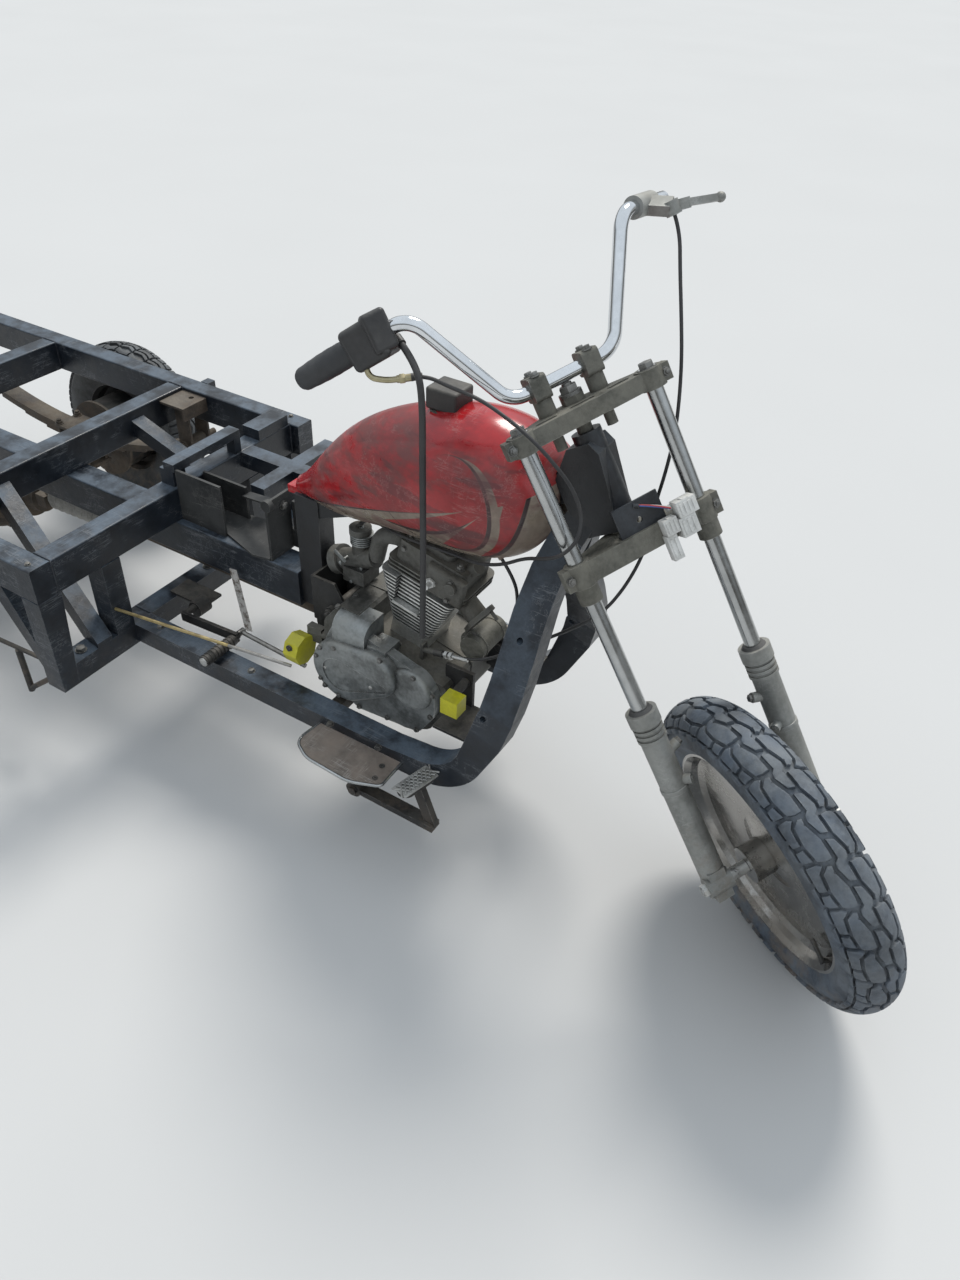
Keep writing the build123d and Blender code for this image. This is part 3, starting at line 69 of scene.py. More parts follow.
# Camera, fitted to the wheels and the ladder frame
camera_at = spot(2.2332, -1.2635, 1.6374)
camera_azimuth = math.radians(30.01)
camera_down = math.radians(39.11)
camera_roll = math.radians(-2.73)
camera_lens = 27.66

# Steering axis and the wheel's axle line
rake = math.radians(31.83)
rest_turn = math.radians(-37.7)
axis_up = Vector((-math.sin(rake), 0.0, math.cos(rake)))
axis_front = Vector((math.cos(rake), 0.0, math.sin(rake)))
turned_front = axis_front * math.cos(rest_turn) + Vector((0, 1, 0)) * math.sin(rest_turn)
turned_left = axis_up.cross(turned_front)
joint_at = {joint["name"]: Vector(joint["pos_m"]) for joint in frame["joints"]}
front_hub = joint_at["front_wheel"]
rear_hubs = {"left": joint_at["rear_wheel_left"], "right": joint_at["rear_wheel_right"]}
wheel_offset = 0.0538
axis_foot = front_hub - turned_front * wheel_offset


def steer_point(n, a, t):
    """Point in the fork's own frame: ahead of the axis, to its left, up it."""
    return axis_foot + turned_front * n + turned_left * a + axis_up * t


steer_turn = Matrix((turned_front, turned_left, axis_up)).transposed().to_4x4()
steer_frame = Matrix.Translation(axis_foot) @ steer_turn


def make_camera():
    """The view of the photograph: level heading, then down, then rolled."""
    heading = Vector((-math.sin(camera_azimuth), math.cos(camera_azimuth), 0))
    flat_right = Vector((math.cos(camera_azimuth), math.sin(camera_azimuth), 0))
    forward = heading * math.cos(camera_down) - Vector((0, 0, 1)) * math.sin(camera_down)
    flat_down = forward.cross(flat_right)
    right = flat_right * math.cos(camera_roll) + flat_down * math.sin(camera_roll)
    down = flat_down * math.cos(camera_roll) - flat_right * math.sin(camera_roll)
    data = bpy.data.cameras.new("photo_view")
    data.lens = camera_lens
    data.sensor_width = 36.0
    data.clip_start = 0.05
    data.clip_end = 200.0
    view = placed("photo_view", data)
    view.matrix_world = Matrix.Translation(camera_at) @ Matrix((right, -down, -forward)).transposed().to_4x4()
    bpy.context.scene.camera = view


make_camera()


def colour4(value):
    if isinstance(value, (tuple, list)) and len(value) == 3:
        return (*value, 1.0)
    return value


class Wiring:
    """Short calls that wire one node tree."""

    def __init__(self, tree):
        self.tree = tree

    def node(self, kind, **settings):
        made = self.tree.nodes.new(kind)
        for key, value in settings.items():
            setattr(made, key, value)
        return made

    def put(self, socket, value):
        """An output is linked to the socket, and a plain value is set on it."""
        if isinstance(value, bpy.types.NodeSocket):
            self.tree.links.new(value, socket)
        else:
            socket.default_value = value

    def fed(self, kind, inputs, **settings):
        """A node with its inputs filled, by name or number."""
        made = self.node(kind, **settings)
        for key, value in inputs.items():
            self.put(made.inputs[key], value)
        return made

    def place(self):
        return self.node("ShaderNodeTexCoord").outputs["Object"]

    def maths(self, operation, *values, clamp=False):
        made = self.fed("ShaderNodeMath", dict(enumerate(values)), operation=operation, use_clamp=clamp)
        return made.outputs[0]

    def folded(self, operation, values, clamp=False):
        """Takes the values together from the left, and clamps only the last result."""
        total = values[0]
        for value in values[1:-1]:
            total = self.maths(operation, total, value)
        return self.maths(operation, total, values[-1], clamp=clamp)

    def times(self, *values, clamp=False):
        return self.folded("MULTIPLY", values, clamp)

    def plus(self, *values, clamp=False):
        return self.folded("ADD", values, clamp)

    def most(self, *values):
        return self.folded("MAXIMUM", values)

    def less(self, first, second):
        return self.maths("SUBTRACT", first, second)

    def rest(self, share):
        """What a share leaves of the whole."""
        return self.maths("SUBTRACT", 1.0, share)

    def between(self, value, low, high, out_low=0.0, out_high=1.0):
        """Smooth step from low to high."""
        ends = {"Value": value, "From Min": low, "From Max": high, "To Min": out_low, "To Max": out_high}
        return self.fed("ShaderNodeMapRange", ends, interpolation_type="SMOOTHSTEP").outputs["Result"]

    def stretched(self, place, scale, turn):
        inputs = {"Vector": place, "Scale": scale, "Rotation": turn}
        return self.fed("ShaderNodeMapping", inputs).outputs["Vector"]

    def noise(self, place, scale, detail=3.0, roughness=0.55):
        inputs = {"Vector": place, "Scale": scale, "Detail": detail, "Roughness": roughness}
        return self.fed("ShaderNodeTexNoise", inputs).outputs["Fac"]

    def mix(self, share, first, second):
        inputs = {0: share, 6: colour4(first), 7: colour4(second)}
        return self.fed("ShaderNodeMix", inputs, data_type="RGBA").outputs[2]

    def part(self, vector, axis):
        return self.fed("ShaderNodeSeparateXYZ", {0: vector}).outputs[axis]

    def use(self, group, **values):
        """Places a group and returns its one output."""
        return self.fed("ShaderNodeGroup", values, node_tree=group).outputs[0]

    def bump(self, shader, height, distance):
        made = self.fed("ShaderNodeBump", {"Distance": distance, "Height": height})
        self.put(shader["Normal"], made.outputs["Normal"])


def new_group(name, output, **inputs):
    """A node group with named number inputs and one output."""
    tree = bpy.data.node_groups.new(name, "ShaderNodeTree")
    for label, value in inputs.items():
        socket = tree.interface.new_socket(name=label, in_out="INPUT", socket_type="NodeSocketFloat")
        socket.default_value = value
    tree.interface.new_socket(name=output, in_out="OUTPUT", socket_type="NodeSocketFloat")
    wiring = Wiring(tree)
    return tree, wiring, wiring.node("NodeGroupInput").outputs, wiring.node("NodeGroupOutput").inputs[0]


def make_edge_wear():
    """Bright rub along the corners, broken up by noise."""
    tree, w, given, result = new_group("edge wear", "Wear", Width=0.003, Breakup=40.0, Amount=1.0)
    rounded = w.fed("ShaderNodeBevel", {"Radius": given["Width"]}, samples=4).outputs["Normal"]
    flat = w.node("ShaderNodeNewGeometry").outputs["Normal"]
    dot = w.fed("ShaderNodeVectorMath", {0: rounded, 1: flat}, operation="DOT_PRODUCT").outputs["Value"]
    corner = w.between(w.rest(dot), 0.015, 0.16)
    patches = w.between(w.noise(w.place(), given["Breakup"], 4.0, 0.65), 0.42, 0.6)
    w.put(result, w.times(corner, patches, given["Amount"], clamp=True))
    return tree


def make_settled_dust():
    """Dust that lies on what faces up, thinner on the sides, in wiped patches."""
    tree, w, given, result = new_group("settled dust", "Dust", Amount=0.6, Scale=9.0, Sides=0.15)
    upward = w.part(w.node("ShaderNodeNewGeometry").outputs["Normal"], 2)
    lies = w.between(upward, 0.05, 0.9, given["Sides"], 1.0)
    place = w.place()
    wide = w.between(w.noise(place, given["Scale"], 5.0, 0.62), 0.34, 0.66)
    fine = w.between(w.noise(place, w.times(given["Scale"], 14.0), 3.0, 0.7), 0.25, 0.7, 0.65, 1.0)
    w.put(result, w.times(lies, w.times(wide, fine), given["Amount"], clamp=True))
    return tree


def make_mottle():
    """Two scales of noise for a finish that is never one colour."""
    tree, w, given, result = new_group("mottle", "Value", Scale=12.0)
    place = w.place()
    wide = w.noise(place, given["Scale"], 4.0, 0.6)
    fine = w.noise(place, w.times(given["Scale"], 9.0), 3.0, 0.6)
    w.put(result, w.between(w.plus(w.times(wide, 0.7), w.times(fine, 0.3)), 0.35, 0.65))
    return tree


def make_scratches():
    """Thin rubs in two crossing directions."""
    tree, w, given, result = new_group("scratches", "Scratch", Scale=30.0, Amount=1.0)
    place = w.place()
    rubs = []
    for turn, squeeze in (((0.3, 0.2, 0.5), (0.06, 1.0, 1.6)), ((0.9, -0.4, 2.1), (1.4, 0.05, 1.0))):
        streaks = w.noise(w.stretched(place, squeeze, turn), given["Scale"], 5.0, 0.7)
        rubs.append(w.between(w.maths("ABSOLUTE", w.less(streaks, 0.5)), 0.0, 0.012, 1.0, 0.0))
    patches = w.between(w.noise(place, 14.0, 2.0), 0.48, 0.6)
    w.put(result, w.times(w.most(*rubs), patches, given["Amount"], clamp=True))
    return tree


def make_splash():
    """Dried mud that thins out with height above the ground."""
    tree, w, given, result = new_group("mud splash", "Mud", Top=0.3, Amount=0.6)
    place = w.place()
    level = w.between(w.part(place, 2), given["Top"], 0.0)
    spots = w.between(w.noise(place, 26.0, 6.0, 0.7), 0.44, 0.6)
    w.put(result, w.times(level, spots, given["Amount"], clamp=True))
    return tree


def make_grime_and_shade():
    """Darkening where surfaces stand close together: painted shade, with some real soiling."""
    tree, w, given, result = new_group("corner grime", "Grime and shade", Reach=0.02, Amount=0.8)
    # Ambient occlusion darkens corners and recesses: this part is painted shade
    closed = w.fed("ShaderNodeAmbientOcclusion", {"Distance": given["Reach"]}, samples=4, only_local=True)
    hidden = w.between(closed.outputs["AO"], 0.85, 0.3)
    breakup = w.between(w.noise(w.place(), 45.0, 4.0), 0.3, 0.62, 0.5, 1.0)
    w.put(result, w.times(hidden, breakup, given["Amount"], clamp=True))
    return tree


edge_wear = make_edge_wear()
settled_dust = make_settled_dust()
mottle = make_mottle()
scratches = make_scratches()
mud_splash = make_splash()
corner_grime_and_shade = make_grime_and_shade()

finish = {}
sky_dust = (0.19, 0.22, 0.255)
dry_mud = (0.19, 0.14, 0.095)
# Near black for the corner darkening: painted shade together with soiling
corner_dirt_and_shade = (0.018, 0.016, 0.014)


def bare_material(name):
    """A plain Principled material, kept in the table of finishes."""
    made = bpy.data.materials.new(name)
    made.use_nodes = True
    made.node_tree.nodes.clear()
    wiring = Wiring(made.node_tree)
    shader = wiring.node("ShaderNodeBsdfPrincipled")
    wiring.put(wiring.node("ShaderNodeOutputMaterial").inputs["Surface"], shader.outputs["BSDF"])
    finish[name] = made
    return wiring, shader.inputs


def worn_finish(name, dark, light, scale=12.0, metallic=0.0, rough=(0.35, 0.55), bare=None, bare_metallic=1.0,
                wear=0.0, wear_width=0.003, dust=0.0, dust_colour=sky_dust, dust_scale=9.0, dust_sides=0.12,
                scratch=0.0, scratch_colour=None, mud=0.0, mud_top=0.35, grime_and_shade=0.0, grime_and_shade_reach=0.02,
                grain=0.0, grain_scale=300.0, lumps=0.0, lumps_scale=60.0):
    """A mottled base under rubbed edges, scratches, painted shade with soiling in the corners, settled dust
    and mud.
    """
    w, shader = bare_material(name)
    blotch = w.use(mottle, Scale=scale)
    colour = w.mix(blotch, dark, light)
    metal = metallic
    metal_shows = wear or metallic > 0
    roughness = w.between(blotch, 0.0, 1.0, *rough)
    if wear:
        rubbed = w.use(edge_wear, Width=wear_width, Amount=wear)
        colour = w.mix(rubbed, colour, bare)
        metal = w.between(rubbed, 0.0, 1.0, metal, bare_metallic)
    if scratch:
        colour = w.mix(w.use(scratches, Amount=scratch), colour, scratch_colour or bare)
    # Painted shade: corners and recesses darkened by occlusion, along with soiling
    if grime_and_shade:
        dirt_and_shade = w.use(corner_grime_and_shade, Reach=grime_and_shade_reach, Amount=grime_and_shade)
        colour = w.mix(dirt_and_shade, colour, corner_dirt_and_shade)
        roughness = w.plus(roughness, w.times(dirt_and_shade, 0.3), clamp=True)
    if dust:
        lying = w.use(settled_dust, Amount=dust, Scale=dust_scale, Sides=dust_sides)
        colour = w.mix(lying, colour, dust_colour)
        roughness = w.plus(roughness, w.times(lying, 0.35), clamp=True)
        if metal_shows:
            metal = w.times(metal, w.rest(w.times(lying, 0.75)))
    if mud:
        caked = w.use(mud_splash, Top=mud_top, Amount=mud)
        colour = w.mix(caked, colour, dry_mud)
        roughness = w.most(roughness, w.times(caked, 0.95))
        if metal_shows:
            metal = w.times(metal, w.rest(caked))
    w.put(shader["Base Color"], colour)
    w.put(shader["Metallic"], metal)
    w.put(shader["Roughness"], roughness)
    if grain:
        height = w.times(w.noise(w.place(), grain_scale), grain)
        if lumps:
            height = w.plus(height, w.times(w.noise(w.place(), lumps_scale), lumps))
        w.bump(shader, height, 0.001)


# Where a finish below darkens its corners and recesses, that darkening is painted shade
worn_finish("frame_paint", (0.0045, 0.006, 0.009), (0.012, 0.017, 0.025), scale=7.0, rough=(0.28, 0.45),
            bare=(0.22, 0.23, 0.24), wear=0.5, dust=0.85, dust_sides=0.05, dust_colour=(0.10, 0.132, 0.17),
            dust_scale=15.0, scratch=0.5, mud=0.22, mud_top=0.36, grain=0.25, grain_scale=500, lumps=0.5)
worn_finish("neck_paint", (0.004, 0.004, 0.005), (0.012, 0.012, 0.013), rough=(0.35, 0.5),
            bare=(0.2, 0.2, 0.19), wear=0.4, dust=0.35, grain=0.3)
worn_finish("tray_metal", (0.009, 0.010, 0.011), (0.032, 0.033, 0.033), rough=(0.5, 0.75),
            bare=(0.16, 0.155, 0.145), wear=0.5, dust=0.55, dust_colour=(0.10, 0.10, 0.095),
            dust_sides=0.2, scratch=0.5, mud=0.4, grime_and_shade=0.6, grain=0.4, lumps=0.5)
worn_finish("cast_grey", (0.075, 0.074, 0.062), (0.175, 0.172, 0.150), scale=18.0, metallic=0.35,
            rough=(0.5, 0.72), bare=(0.5, 0.49, 0.45), wear=0.6, wear_width=0.002, dust=0.6,
            dust_colour=(0.27, 0.25, 0.2), dust_sides=0.3, grime_and_shade=0.7, grime_and_shade_reach=0.015, grain=0.7,
            grain_scale=420, lumps=0.6)
worn_finish("slider_alloy", (0.20, 0.205, 0.195), (0.34, 0.345, 0.33), scale=16.0, metallic=0.55,
            rough=(0.42, 0.62), bare=(0.6, 0.6, 0.58), wear=0.5, dust=0.5, dust_colour=(0.28, 0.26, 0.22),
            dust_sides=0.35, scratch=0.5, scratch_colour=(0.5, 0.5, 0.48), mud=0.75, mud_top=0.5,
            grime_and_shade=0.6, grain=0.3, lumps=0.5)
worn_finish("engine_alloy", (0.14, 0.15, 0.15), (0.34, 0.36, 0.36), scale=14.0, metallic=0.7,
            rough=(0.3, 0.52), bare=(0.72, 0.73, 0.72), wear=0.9, wear_width=0.0022, dust=0.55,
            dust_colour=(0.27, 0.255, 0.22), dust_sides=0.25, mud=0.5, grime_and_shade=0.85, grime_and_shade_reach=0.03,
            grain=0.5, grain_scale=600, lumps=0.4)
worn_finish("engine_dirty", (0.045, 0.044, 0.04), (0.15, 0.15, 0.14), scale=14.0, metallic=0.4,
            rough=(0.5, 0.75), bare=(0.4, 0.4, 0.38), wear=0.5, dust=0.6, dust_colour=(0.2, 0.18, 0.14),
            dust_sides=0.3, mud=0.5, grime_and_shade=0.9, grime_and_shade_reach=0.03, grain=0.6, lumps=0.7)
worn_finish("chrome", (0.62, 0.64, 0.66), (0.72, 0.74, 0.76), metallic=1.0, rough=(0.05, 0.12), dust=0.15,
            dust_colour=(0.4, 0.39, 0.36), dust_sides=0.05, scratch=0.15, scratch_colour=(0.4, 0.4, 0.4))
worn_finish("fork_steel", (0.34, 0.35, 0.35), (0.48, 0.49, 0.49), scale=6.0, metallic=1.0,
            rough=(0.10, 0.20), dust=0.22, dust_colour=(0.2, 0.19, 0.16), dust_sides=0.25, scratch=0.2,
            scratch_colour=(0.2, 0.2, 0.19))
worn_finish("rim_alloy", (0.22, 0.215, 0.205), (0.42, 0.41, 0.39), scale=9.0, metallic=1.0,
            rough=(0.13, 0.26), dust=0.35, dust_colour=(0.2, 0.165, 0.125), dust_sides=0.35, grime_and_shade=0.6,
            mud=0.5, mud_top=0.22, scratch=0.2, scratch_colour=(0.3, 0.3, 0.28))
worn_finish("dark_steel", (0.016, 0.016, 0.017), (0.05, 0.05, 0.05), metallic=0.5, rough=(0.45, 0.7),
            bare=(0.35, 0.34, 0.32), wear=0.6, dust=0.6, dust_colour=(0.2, 0.18, 0.15), mud=0.6, grime_and_shade=0.5,
            grain=0.5, lumps=0.6)
worn_finish("worn_plate", (0.16, 0.135, 0.115), (0.30, 0.265, 0.235), scale=9.0, metallic=0.55,
            rough=(0.38, 0.6), bare=(0.75, 0.74, 0.71), wear=1.0, dust=0.55,
            dust_colour=(0.26, 0.2, 0.155), scratch=0.8, scratch_colour=(0.45, 0.43, 0.4), grain=0.3)
worn_finish("rusty_steel", (0.03, 0.023, 0.018), (0.10, 0.075, 0.055), scale=16.0, rough=(0.6, 0.85),
            bare=(0.25, 0.22, 0.19), wear=0.35, dust=0.7, dust_colour=(0.2, 0.175, 0.14), dust_sides=0.3,
            mud=0.6, grain=0.9, grain_scale=260, lumps=1.2, lumps_scale=90)
worn_finish("black_plastic", (0.014, 0.014, 0.015), (0.032, 0.032, 0.034), rough=(0.38, 0.55), dust=0.45,
            dust_colour=(0.2, 0.19, 0.175), dust_sides=0.15, wear=0.35, bare=(0.09, 0.09, 0.09),
            bare_metallic=0.0, grain=0.2, grain_scale=700)
worn_finish("cap_plastic", (0.012, 0.012, 0.013), (0.028, 0.028, 0.028), rough=(0.4, 0.6), dust=0.6,
            dust_colour=(0.22, 0.2, 0.17), dust_sides=0.2, wear=0.4, bare=(0.12, 0.11, 0.1),
            bare_metallic=0.0, grain=0.5, grain_scale=500)
worn_finish("grip_rubber", (0.018, 0.019, 0.021), (0.035, 0.037, 0.04), rough=(0.5, 0.68), dust=0.4,
            dust_colour=(0.15, 0.15, 0.15), dust_sides=0.3, grain=0.4, grain_scale=900)
worn_finish("cable_black", (0.012, 0.012, 0.013), (0.03, 0.03, 0.032), rough=(0.4, 0.6), dust=0.35,
            dust_colour=(0.16, 0.15, 0.14), dust_sides=0.3)
worn_finish("dull_brass", (0.30, 0.26, 0.15), (0.48, 0.43, 0.28), metallic=0.9, rough=(0.28, 0.45),
            dust=0.3, dust_colour=(0.25, 0.22, 0.16))
worn_finish("yellow_plastic", (0.47, 0.44, 0.012), (0.62, 0.58, 0.02), scale=20.0, rough=(0.35, 0.5),
            dust=0.4, dust_colour=(0.22, 0.2, 0.1), dust_sides=0.1, grime_and_shade=0.5, mud=0.5, mud_top=0.5)
worn_finish("red_wire", (0.34, 0.02, 0.03), (0.5, 0.04, 0.05), scale=40.0, rough=(0.4, 0.5), dust=0.3,
            dust_colour=(0.3, 0.25, 0.22))
worn_finish("blue_wire", (0.02, 0.06, 0.24), (0.04, 0.10, 0.34), scale=40.0, rough=(0.4, 0.5), dust=0.3,
            dust_colour=(0.25, 0.25, 0.26))
worn_finish("pad_alloy", (0.30, 0.30, 0.29), (0.46, 0.46, 0.44), scale=30.0, metallic=0.7, dust=0.5,
            dust_colour=(0.28, 0.25, 0.21), grime_and_shade=0.8, grime_and_shade_reach=0.006)
worn_finish("weld_metal", (0.012, 0.014, 0.018), (0.04, 0.045, 0.055), scale=60.0, metallic=0.3,
            rough=(0.4, 0.65), bare=(0.25, 0.24, 0.23), wear=0.7, wear_width=0.002, dust=0.6,
            dust_colour=(0.11, 0.13, 0.155), grain=0.6)
worn_finish("boot_rubber", (0.20, 0.195, 0.18), (0.37, 0.36, 0.335), scale=22.0, rough=(0.6, 0.8),
            dust=0.5, dust_colour=(0.36, 0.34, 0.3), grime_and_shade=0.8, grime_and_shade_reach=0.012)
worn_finish("bolt_steel", (0.10, 0.10, 0.095), (0.25, 0.25, 0.24), scale=60.0, metallic=0.8,
            rough=(0.3, 0.5), bare=(0.5, 0.5, 0.48), wear=0.8, wear_width=0.001, dust=0.6,
            dust_colour=(0.2, 0.18, 0.15), grime_and_shade=0.6)
worn_finish("bright_steel", (0.42, 0.42, 0.41), (0.6, 0.6, 0.58), scale=40.0, metallic=0.95,
            rough=(0.22, 0.42), dust=0.4, dust_colour=(0.25, 0.22, 0.18), grime_and_shade=0.5)
worn_finish("white_plastic", (0.5, 0.5, 0.48), (0.72, 0.72, 0.7), scale=30.0, rough=(0.4, 0.55), dust=0.5,
            dust_colour=(0.45, 0.42, 0.36), grime_and_shade=0.5, grime_and_shade_reach=0.01)


def make_linkage_metal():
    """Bright shift rod, yellow zinc on the long rod and soiled white paint on the strip."""
    w, shader = bare_material("linkage_metal")
    place = w.place()
    across = w.part(place, 1)
    blotch = w.use(mottle, Scale=35.0)
    steel = w.mix(blotch, (0.16, 0.155, 0.145), (0.42, 0.41, 0.39))
    zinc = w.mix(blotch, (0.30, 0.22, 0.09), (0.55, 0.45, 0.22))
    flaked = w.between(w.noise(place, 60.0, 5.0, 0.7), 0.45, 0.62)
    paint = w.mix(flaked, (0.55, 0.53, 0.50), (0.12, 0.09, 0.07))
    behind_lever = w.maths("LESS_THAN", w.part(place, 0), 1.01 - middle_x)
    on_zinc = w.times(w.maths("LESS_THAN", across, -0.130), behind_lever)
    on_paint = w.maths("GREATER_THAN", across, -0.060)
    colour = w.mix(on_paint, w.mix(on_zinc, steel, zinc), paint)
    lying = w.use(settled_dust, Amount=0.5, Scale=20.0, Sides=0.2)
    w.put(shader["Base Color"], w.mix(lying, colour, (0.22, 0.19, 0.15)))
    w.put(shader["Metallic"], w.less(0.9, w.times(on_paint, 0.9)))
    w.put(shader["Roughness"], w.between(blotch, 0.0, 1.0, 0.28, 0.5))


def make_tank_paint():
    """Red enamel over a tan underside, with plain crescents at the front, rubbed matt by dust."""
    w, shader = bare_material("tank_paint")
    place = w.place()
    x = w.plus(w.part(place, 0), middle_x)
    z = w.part(place, 2)
    soft = 0.0008

    def ring(cx, cz, radius):
        """1 inside a circle of the side view."""
        dx = w.less(x, cx)
        dz = w.less(z, cz)
        far = w.maths("SQRT", w.plus(w.times(dx, dx), w.times(dz, dz)))
        return w.between(far, radius + soft, radius - soft)

    def under(start_x, start_z, slope):
        """1 below a leaning line of the side view."""
        line = w.plus(w.times(w.less(x, start_x), slope), start_z)
        return w.between(w.less(z, line), soft, -soft)

    def lune(outer, inner):
        return w.times(ring(*outer), w.rest(ring(*inner)))

    # Circles of the side view, as middle x, middle z and radius
    disc = (1.4947, 0.8002, 0.0812)
    disc_rim = (1.4990, 0.7990, 0.0838)
    hook = (1.5108, 0.7978, 0.0850)
    horn = (1.4862, 0.8336, 0.1379)
    horn_rim = (1.4895, 0.8303, 0.1400)
    horn_back = (1.4117, 0.8349, 0.1843)
    tongue = (1.3394, 1.0386, 0.3191)
    tongue_rim = (1.3736, 0.9484, 0.2306)

    blotch = w.use(mottle, Scale=9.0)
    red = w.mix(blotch, (0.24, 0.008, 0.012), (0.42, 0.014, 0.018))
    belly = w.mix(blotch, (0.19, 0.16, 0.12), (0.31, 0.265, 0.205))
    below = under(1.1345, 0.6554, 0.39)
    inside = w.most(w.times(ring(*tongue), under(1.3386, 0.7098, 0.52)),
                    w.times(ring(*disc), under(1.4531, 0.6861, 1.14)), lune(horn, horn_back))
    tan = w.most(w.times(below, w.rest(inside)), w.times(lune(hook, disc), w.between(x, 1.49, 1.50)))
    edge = w.times(below, w.rest(under(1.1345, 0.6494, 0.4058)))
    low_rims = w.times(below, w.most(lune(tongue_rim, tongue), lune(horn_rim, horn)))
    rims = w.most(edge, low_rims, lune(disc_rim, disc))
    tail = w.times(w.between(x, 1.138, 1.130), below)
    colour = w.mix(rims, w.mix(tan, red, belly), (0.014, 0.010, 0.011))
    colour = w.mix(tail, colour, (0.55, 0.56, 0.58))
    lying = w.use(settled_dust, Amount=0.8, Scale=7.0, Sides=0.5)
    smear = w.between(w.noise(w.stretched(place, (1.0, 1.0, 2.6), (0, 0.3, 0)), 8.0, 5.0, 0.6), 0.42, 0.62)
    tip = w.between(w.plus(x, w.times(w.noise(place, 12.0), 0.05)), 1.15, 1.21)
    nose = w.between(w.plus(z, w.times(w.noise(place, 10.0), 0.05)), 0.945, 0.90)
    middle = w.times(tip, nose)
    matt = w.times(w.most(w.times(lying, 0.95), w.times(smear, 0.8)), middle)
    wiped = w.between(w.noise(w.stretched(place, (0.5, 1.0, 3.0), (0, -0.35, 0)), 11.0), 0.56, 0.60)
    colour = w.mix(matt, colour, (0.115, 0.048, 0.045))
    colour = w.mix(w.times(wiped, middle, 0.5), colour, (0.075, 0.026, 0.028))
    colour = w.mix(w.use(scratches, Scale=22.0, Amount=0.3), colour, (0.42, 0.24, 0.22))
    w.put(shader["Base Color"], colour)
    w.put(shader["Roughness"], w.between(matt, 0.0, 0.5, 0.2, 0.62))
    shader["Coat Weight"].default_value = 0.15


def make_fin_metal():
    """Fins: bright open outer edges, partly worn metal and partly painted highlight; painted shade between
    them; darker towards the top.
    """
    w, shader = bare_material("fin_metal")
    place = w.place()
    blotch = w.use(mottle, Scale=24.0)
    # Occlusion picks the open outer edges for a painted highlight and the hollows between fins for painted
    # shade
    closed = w.fed("ShaderNodeAmbientOcclusion", {"Distance": 0.012}, samples=6, only_local=True)
    open_edge = w.between(closed.outputs["AO"], 0.34, 0.62)
    # Darker towards the top of the barrel
    low = w.between(w.plus(w.part(place, 2), w.times(w.noise(place, 30.0), 0.05)), 0.64, 0.57)
    bright = w.times(open_edge, w.plus(w.times(low, 0.75), 0.25), clamp=True)
    # Dark colour between the fins: painted shade with soiling; light colour on the open edges: worn metal
    # with a painted highlight
    dirty_and_shaded = w.mix(blotch, (0.022, 0.021, 0.019), (0.075, 0.073, 0.068))
    clean_and_lit = w.mix(blotch, (0.52, 0.52, 0.50), (0.78, 0.78, 0.76))
    w.put(shader["Base Color"], w.mix(bright, dirty_and_shaded, clean_and_lit))
    w.put(shader["Metallic"], w.between(bright, 0.0, 1.0, 0.2, 0.85))
    w.put(shader["Roughness"], w.between(bright, 0.0, 1.0, 0.75, 0.36))
    w.bump(shader, w.noise(place, 420.0), 0.0006)


def make_tyre_rubber(name, tint, dust_share):
    """Rubber that is blue grey where worn, with painted shade and some soiling darkening its grooves."""
    w, shader = bare_material(name)
    colour = w.mix(w.use(mottle, Scale=16.0), tuple(0.35 * c for c in tint), tint)
    lying = w.use(settled_dust, Amount=dust_share, Scale=11.0, Sides=0.6)
    layers = ((w.use(edge_wear, Width=0.0025, Breakup=30.0, Amount=0.8), (0.25, 0.265, 0.28)),
              (lying, (0.20, 0.215, 0.225)),
              # Painted shade in the grooves, from occlusion
              (w.use(corner_grime_and_shade, Reach=0.006, Amount=0.75), (0.02, 0.019, 0.018)),
              (w.use(mud_splash, Top=0.3, Amount=0.5), dry_mud))
    for share, layer in layers:
        colour = w.mix(share, colour, layer)
    w.put(shader["Base Color"], colour)
    w.put(shader["Roughness"], w.between(lying, 0.0, 1.0, 0.6, 0.92))
    w.bump(shader, w.noise(w.place(), 380.0, 4.0, 0.7), 0.0006)


make_linkage_metal()
make_tank_paint()
make_fin_metal()
make_tyre_rubber("front_rubber", (0.085, 0.108, 0.140), 0.8)
make_tyre_rubber("rear_rubber", (0.035, 0.035, 0.035), 0.6)

node_finish = {
    "frame_paint": ("rail_left", "rail_right", "cross_beams", "centre_beam", "posts", "struts",
        "low_cross", "cradle_left", "cradle_right", "seat_frame"),
    "neck_paint": ("headstock", "lamp_bracket", "backbone"),
    "tray_metal": ("battery_tray",),
    "tank_paint": ("fuel_tank",),
    "cap_plastic": ("fuel_cap",),
    "engine_alloy": ("engine_covers",),
    "engine_dirty": ("engine_crankcase", "cylinder_head", "carburettor"),
    "fin_metal": ("cylinder",),
    "dark_steel": ("engine_mounts", "rear_rim_left", "rear_rim_right", "brake_pedal", "pedal_brackets",
        "foot_lever", "brake_rods"),
    "rusty_steel": ("leaf_springs", "spring_fittings", "rear_axle", "prop_shaft"),
    "boot_rubber": ("prop_boot",),
    "yellow_plastic": ("yellow_caps",),
    "worn_plate": ("footplates",),
    "linkage_metal": ("linkage",),
    "cast_grey": ("top_bridge", "lower_bridge"),
    "slider_alloy": ("fork_sliders", "clutch_lever"),
    "fork_steel": ("fork_tubes",),
    "bright_steel": ("front_axle",),
    "chrome": ("handlebar",),
    "grip_rubber": ("grip_right",),
    "black_plastic": ("switch_housing",),
    "dull_brass": ("throttle_elbow",),
    "rim_alloy": ("front_rim",),
    "white_plastic": ("plugs",),
    "cable_black": ("throttle_cable", "clutch_cable", "switch_loom", "vent_hose", "plug_wires"),
}
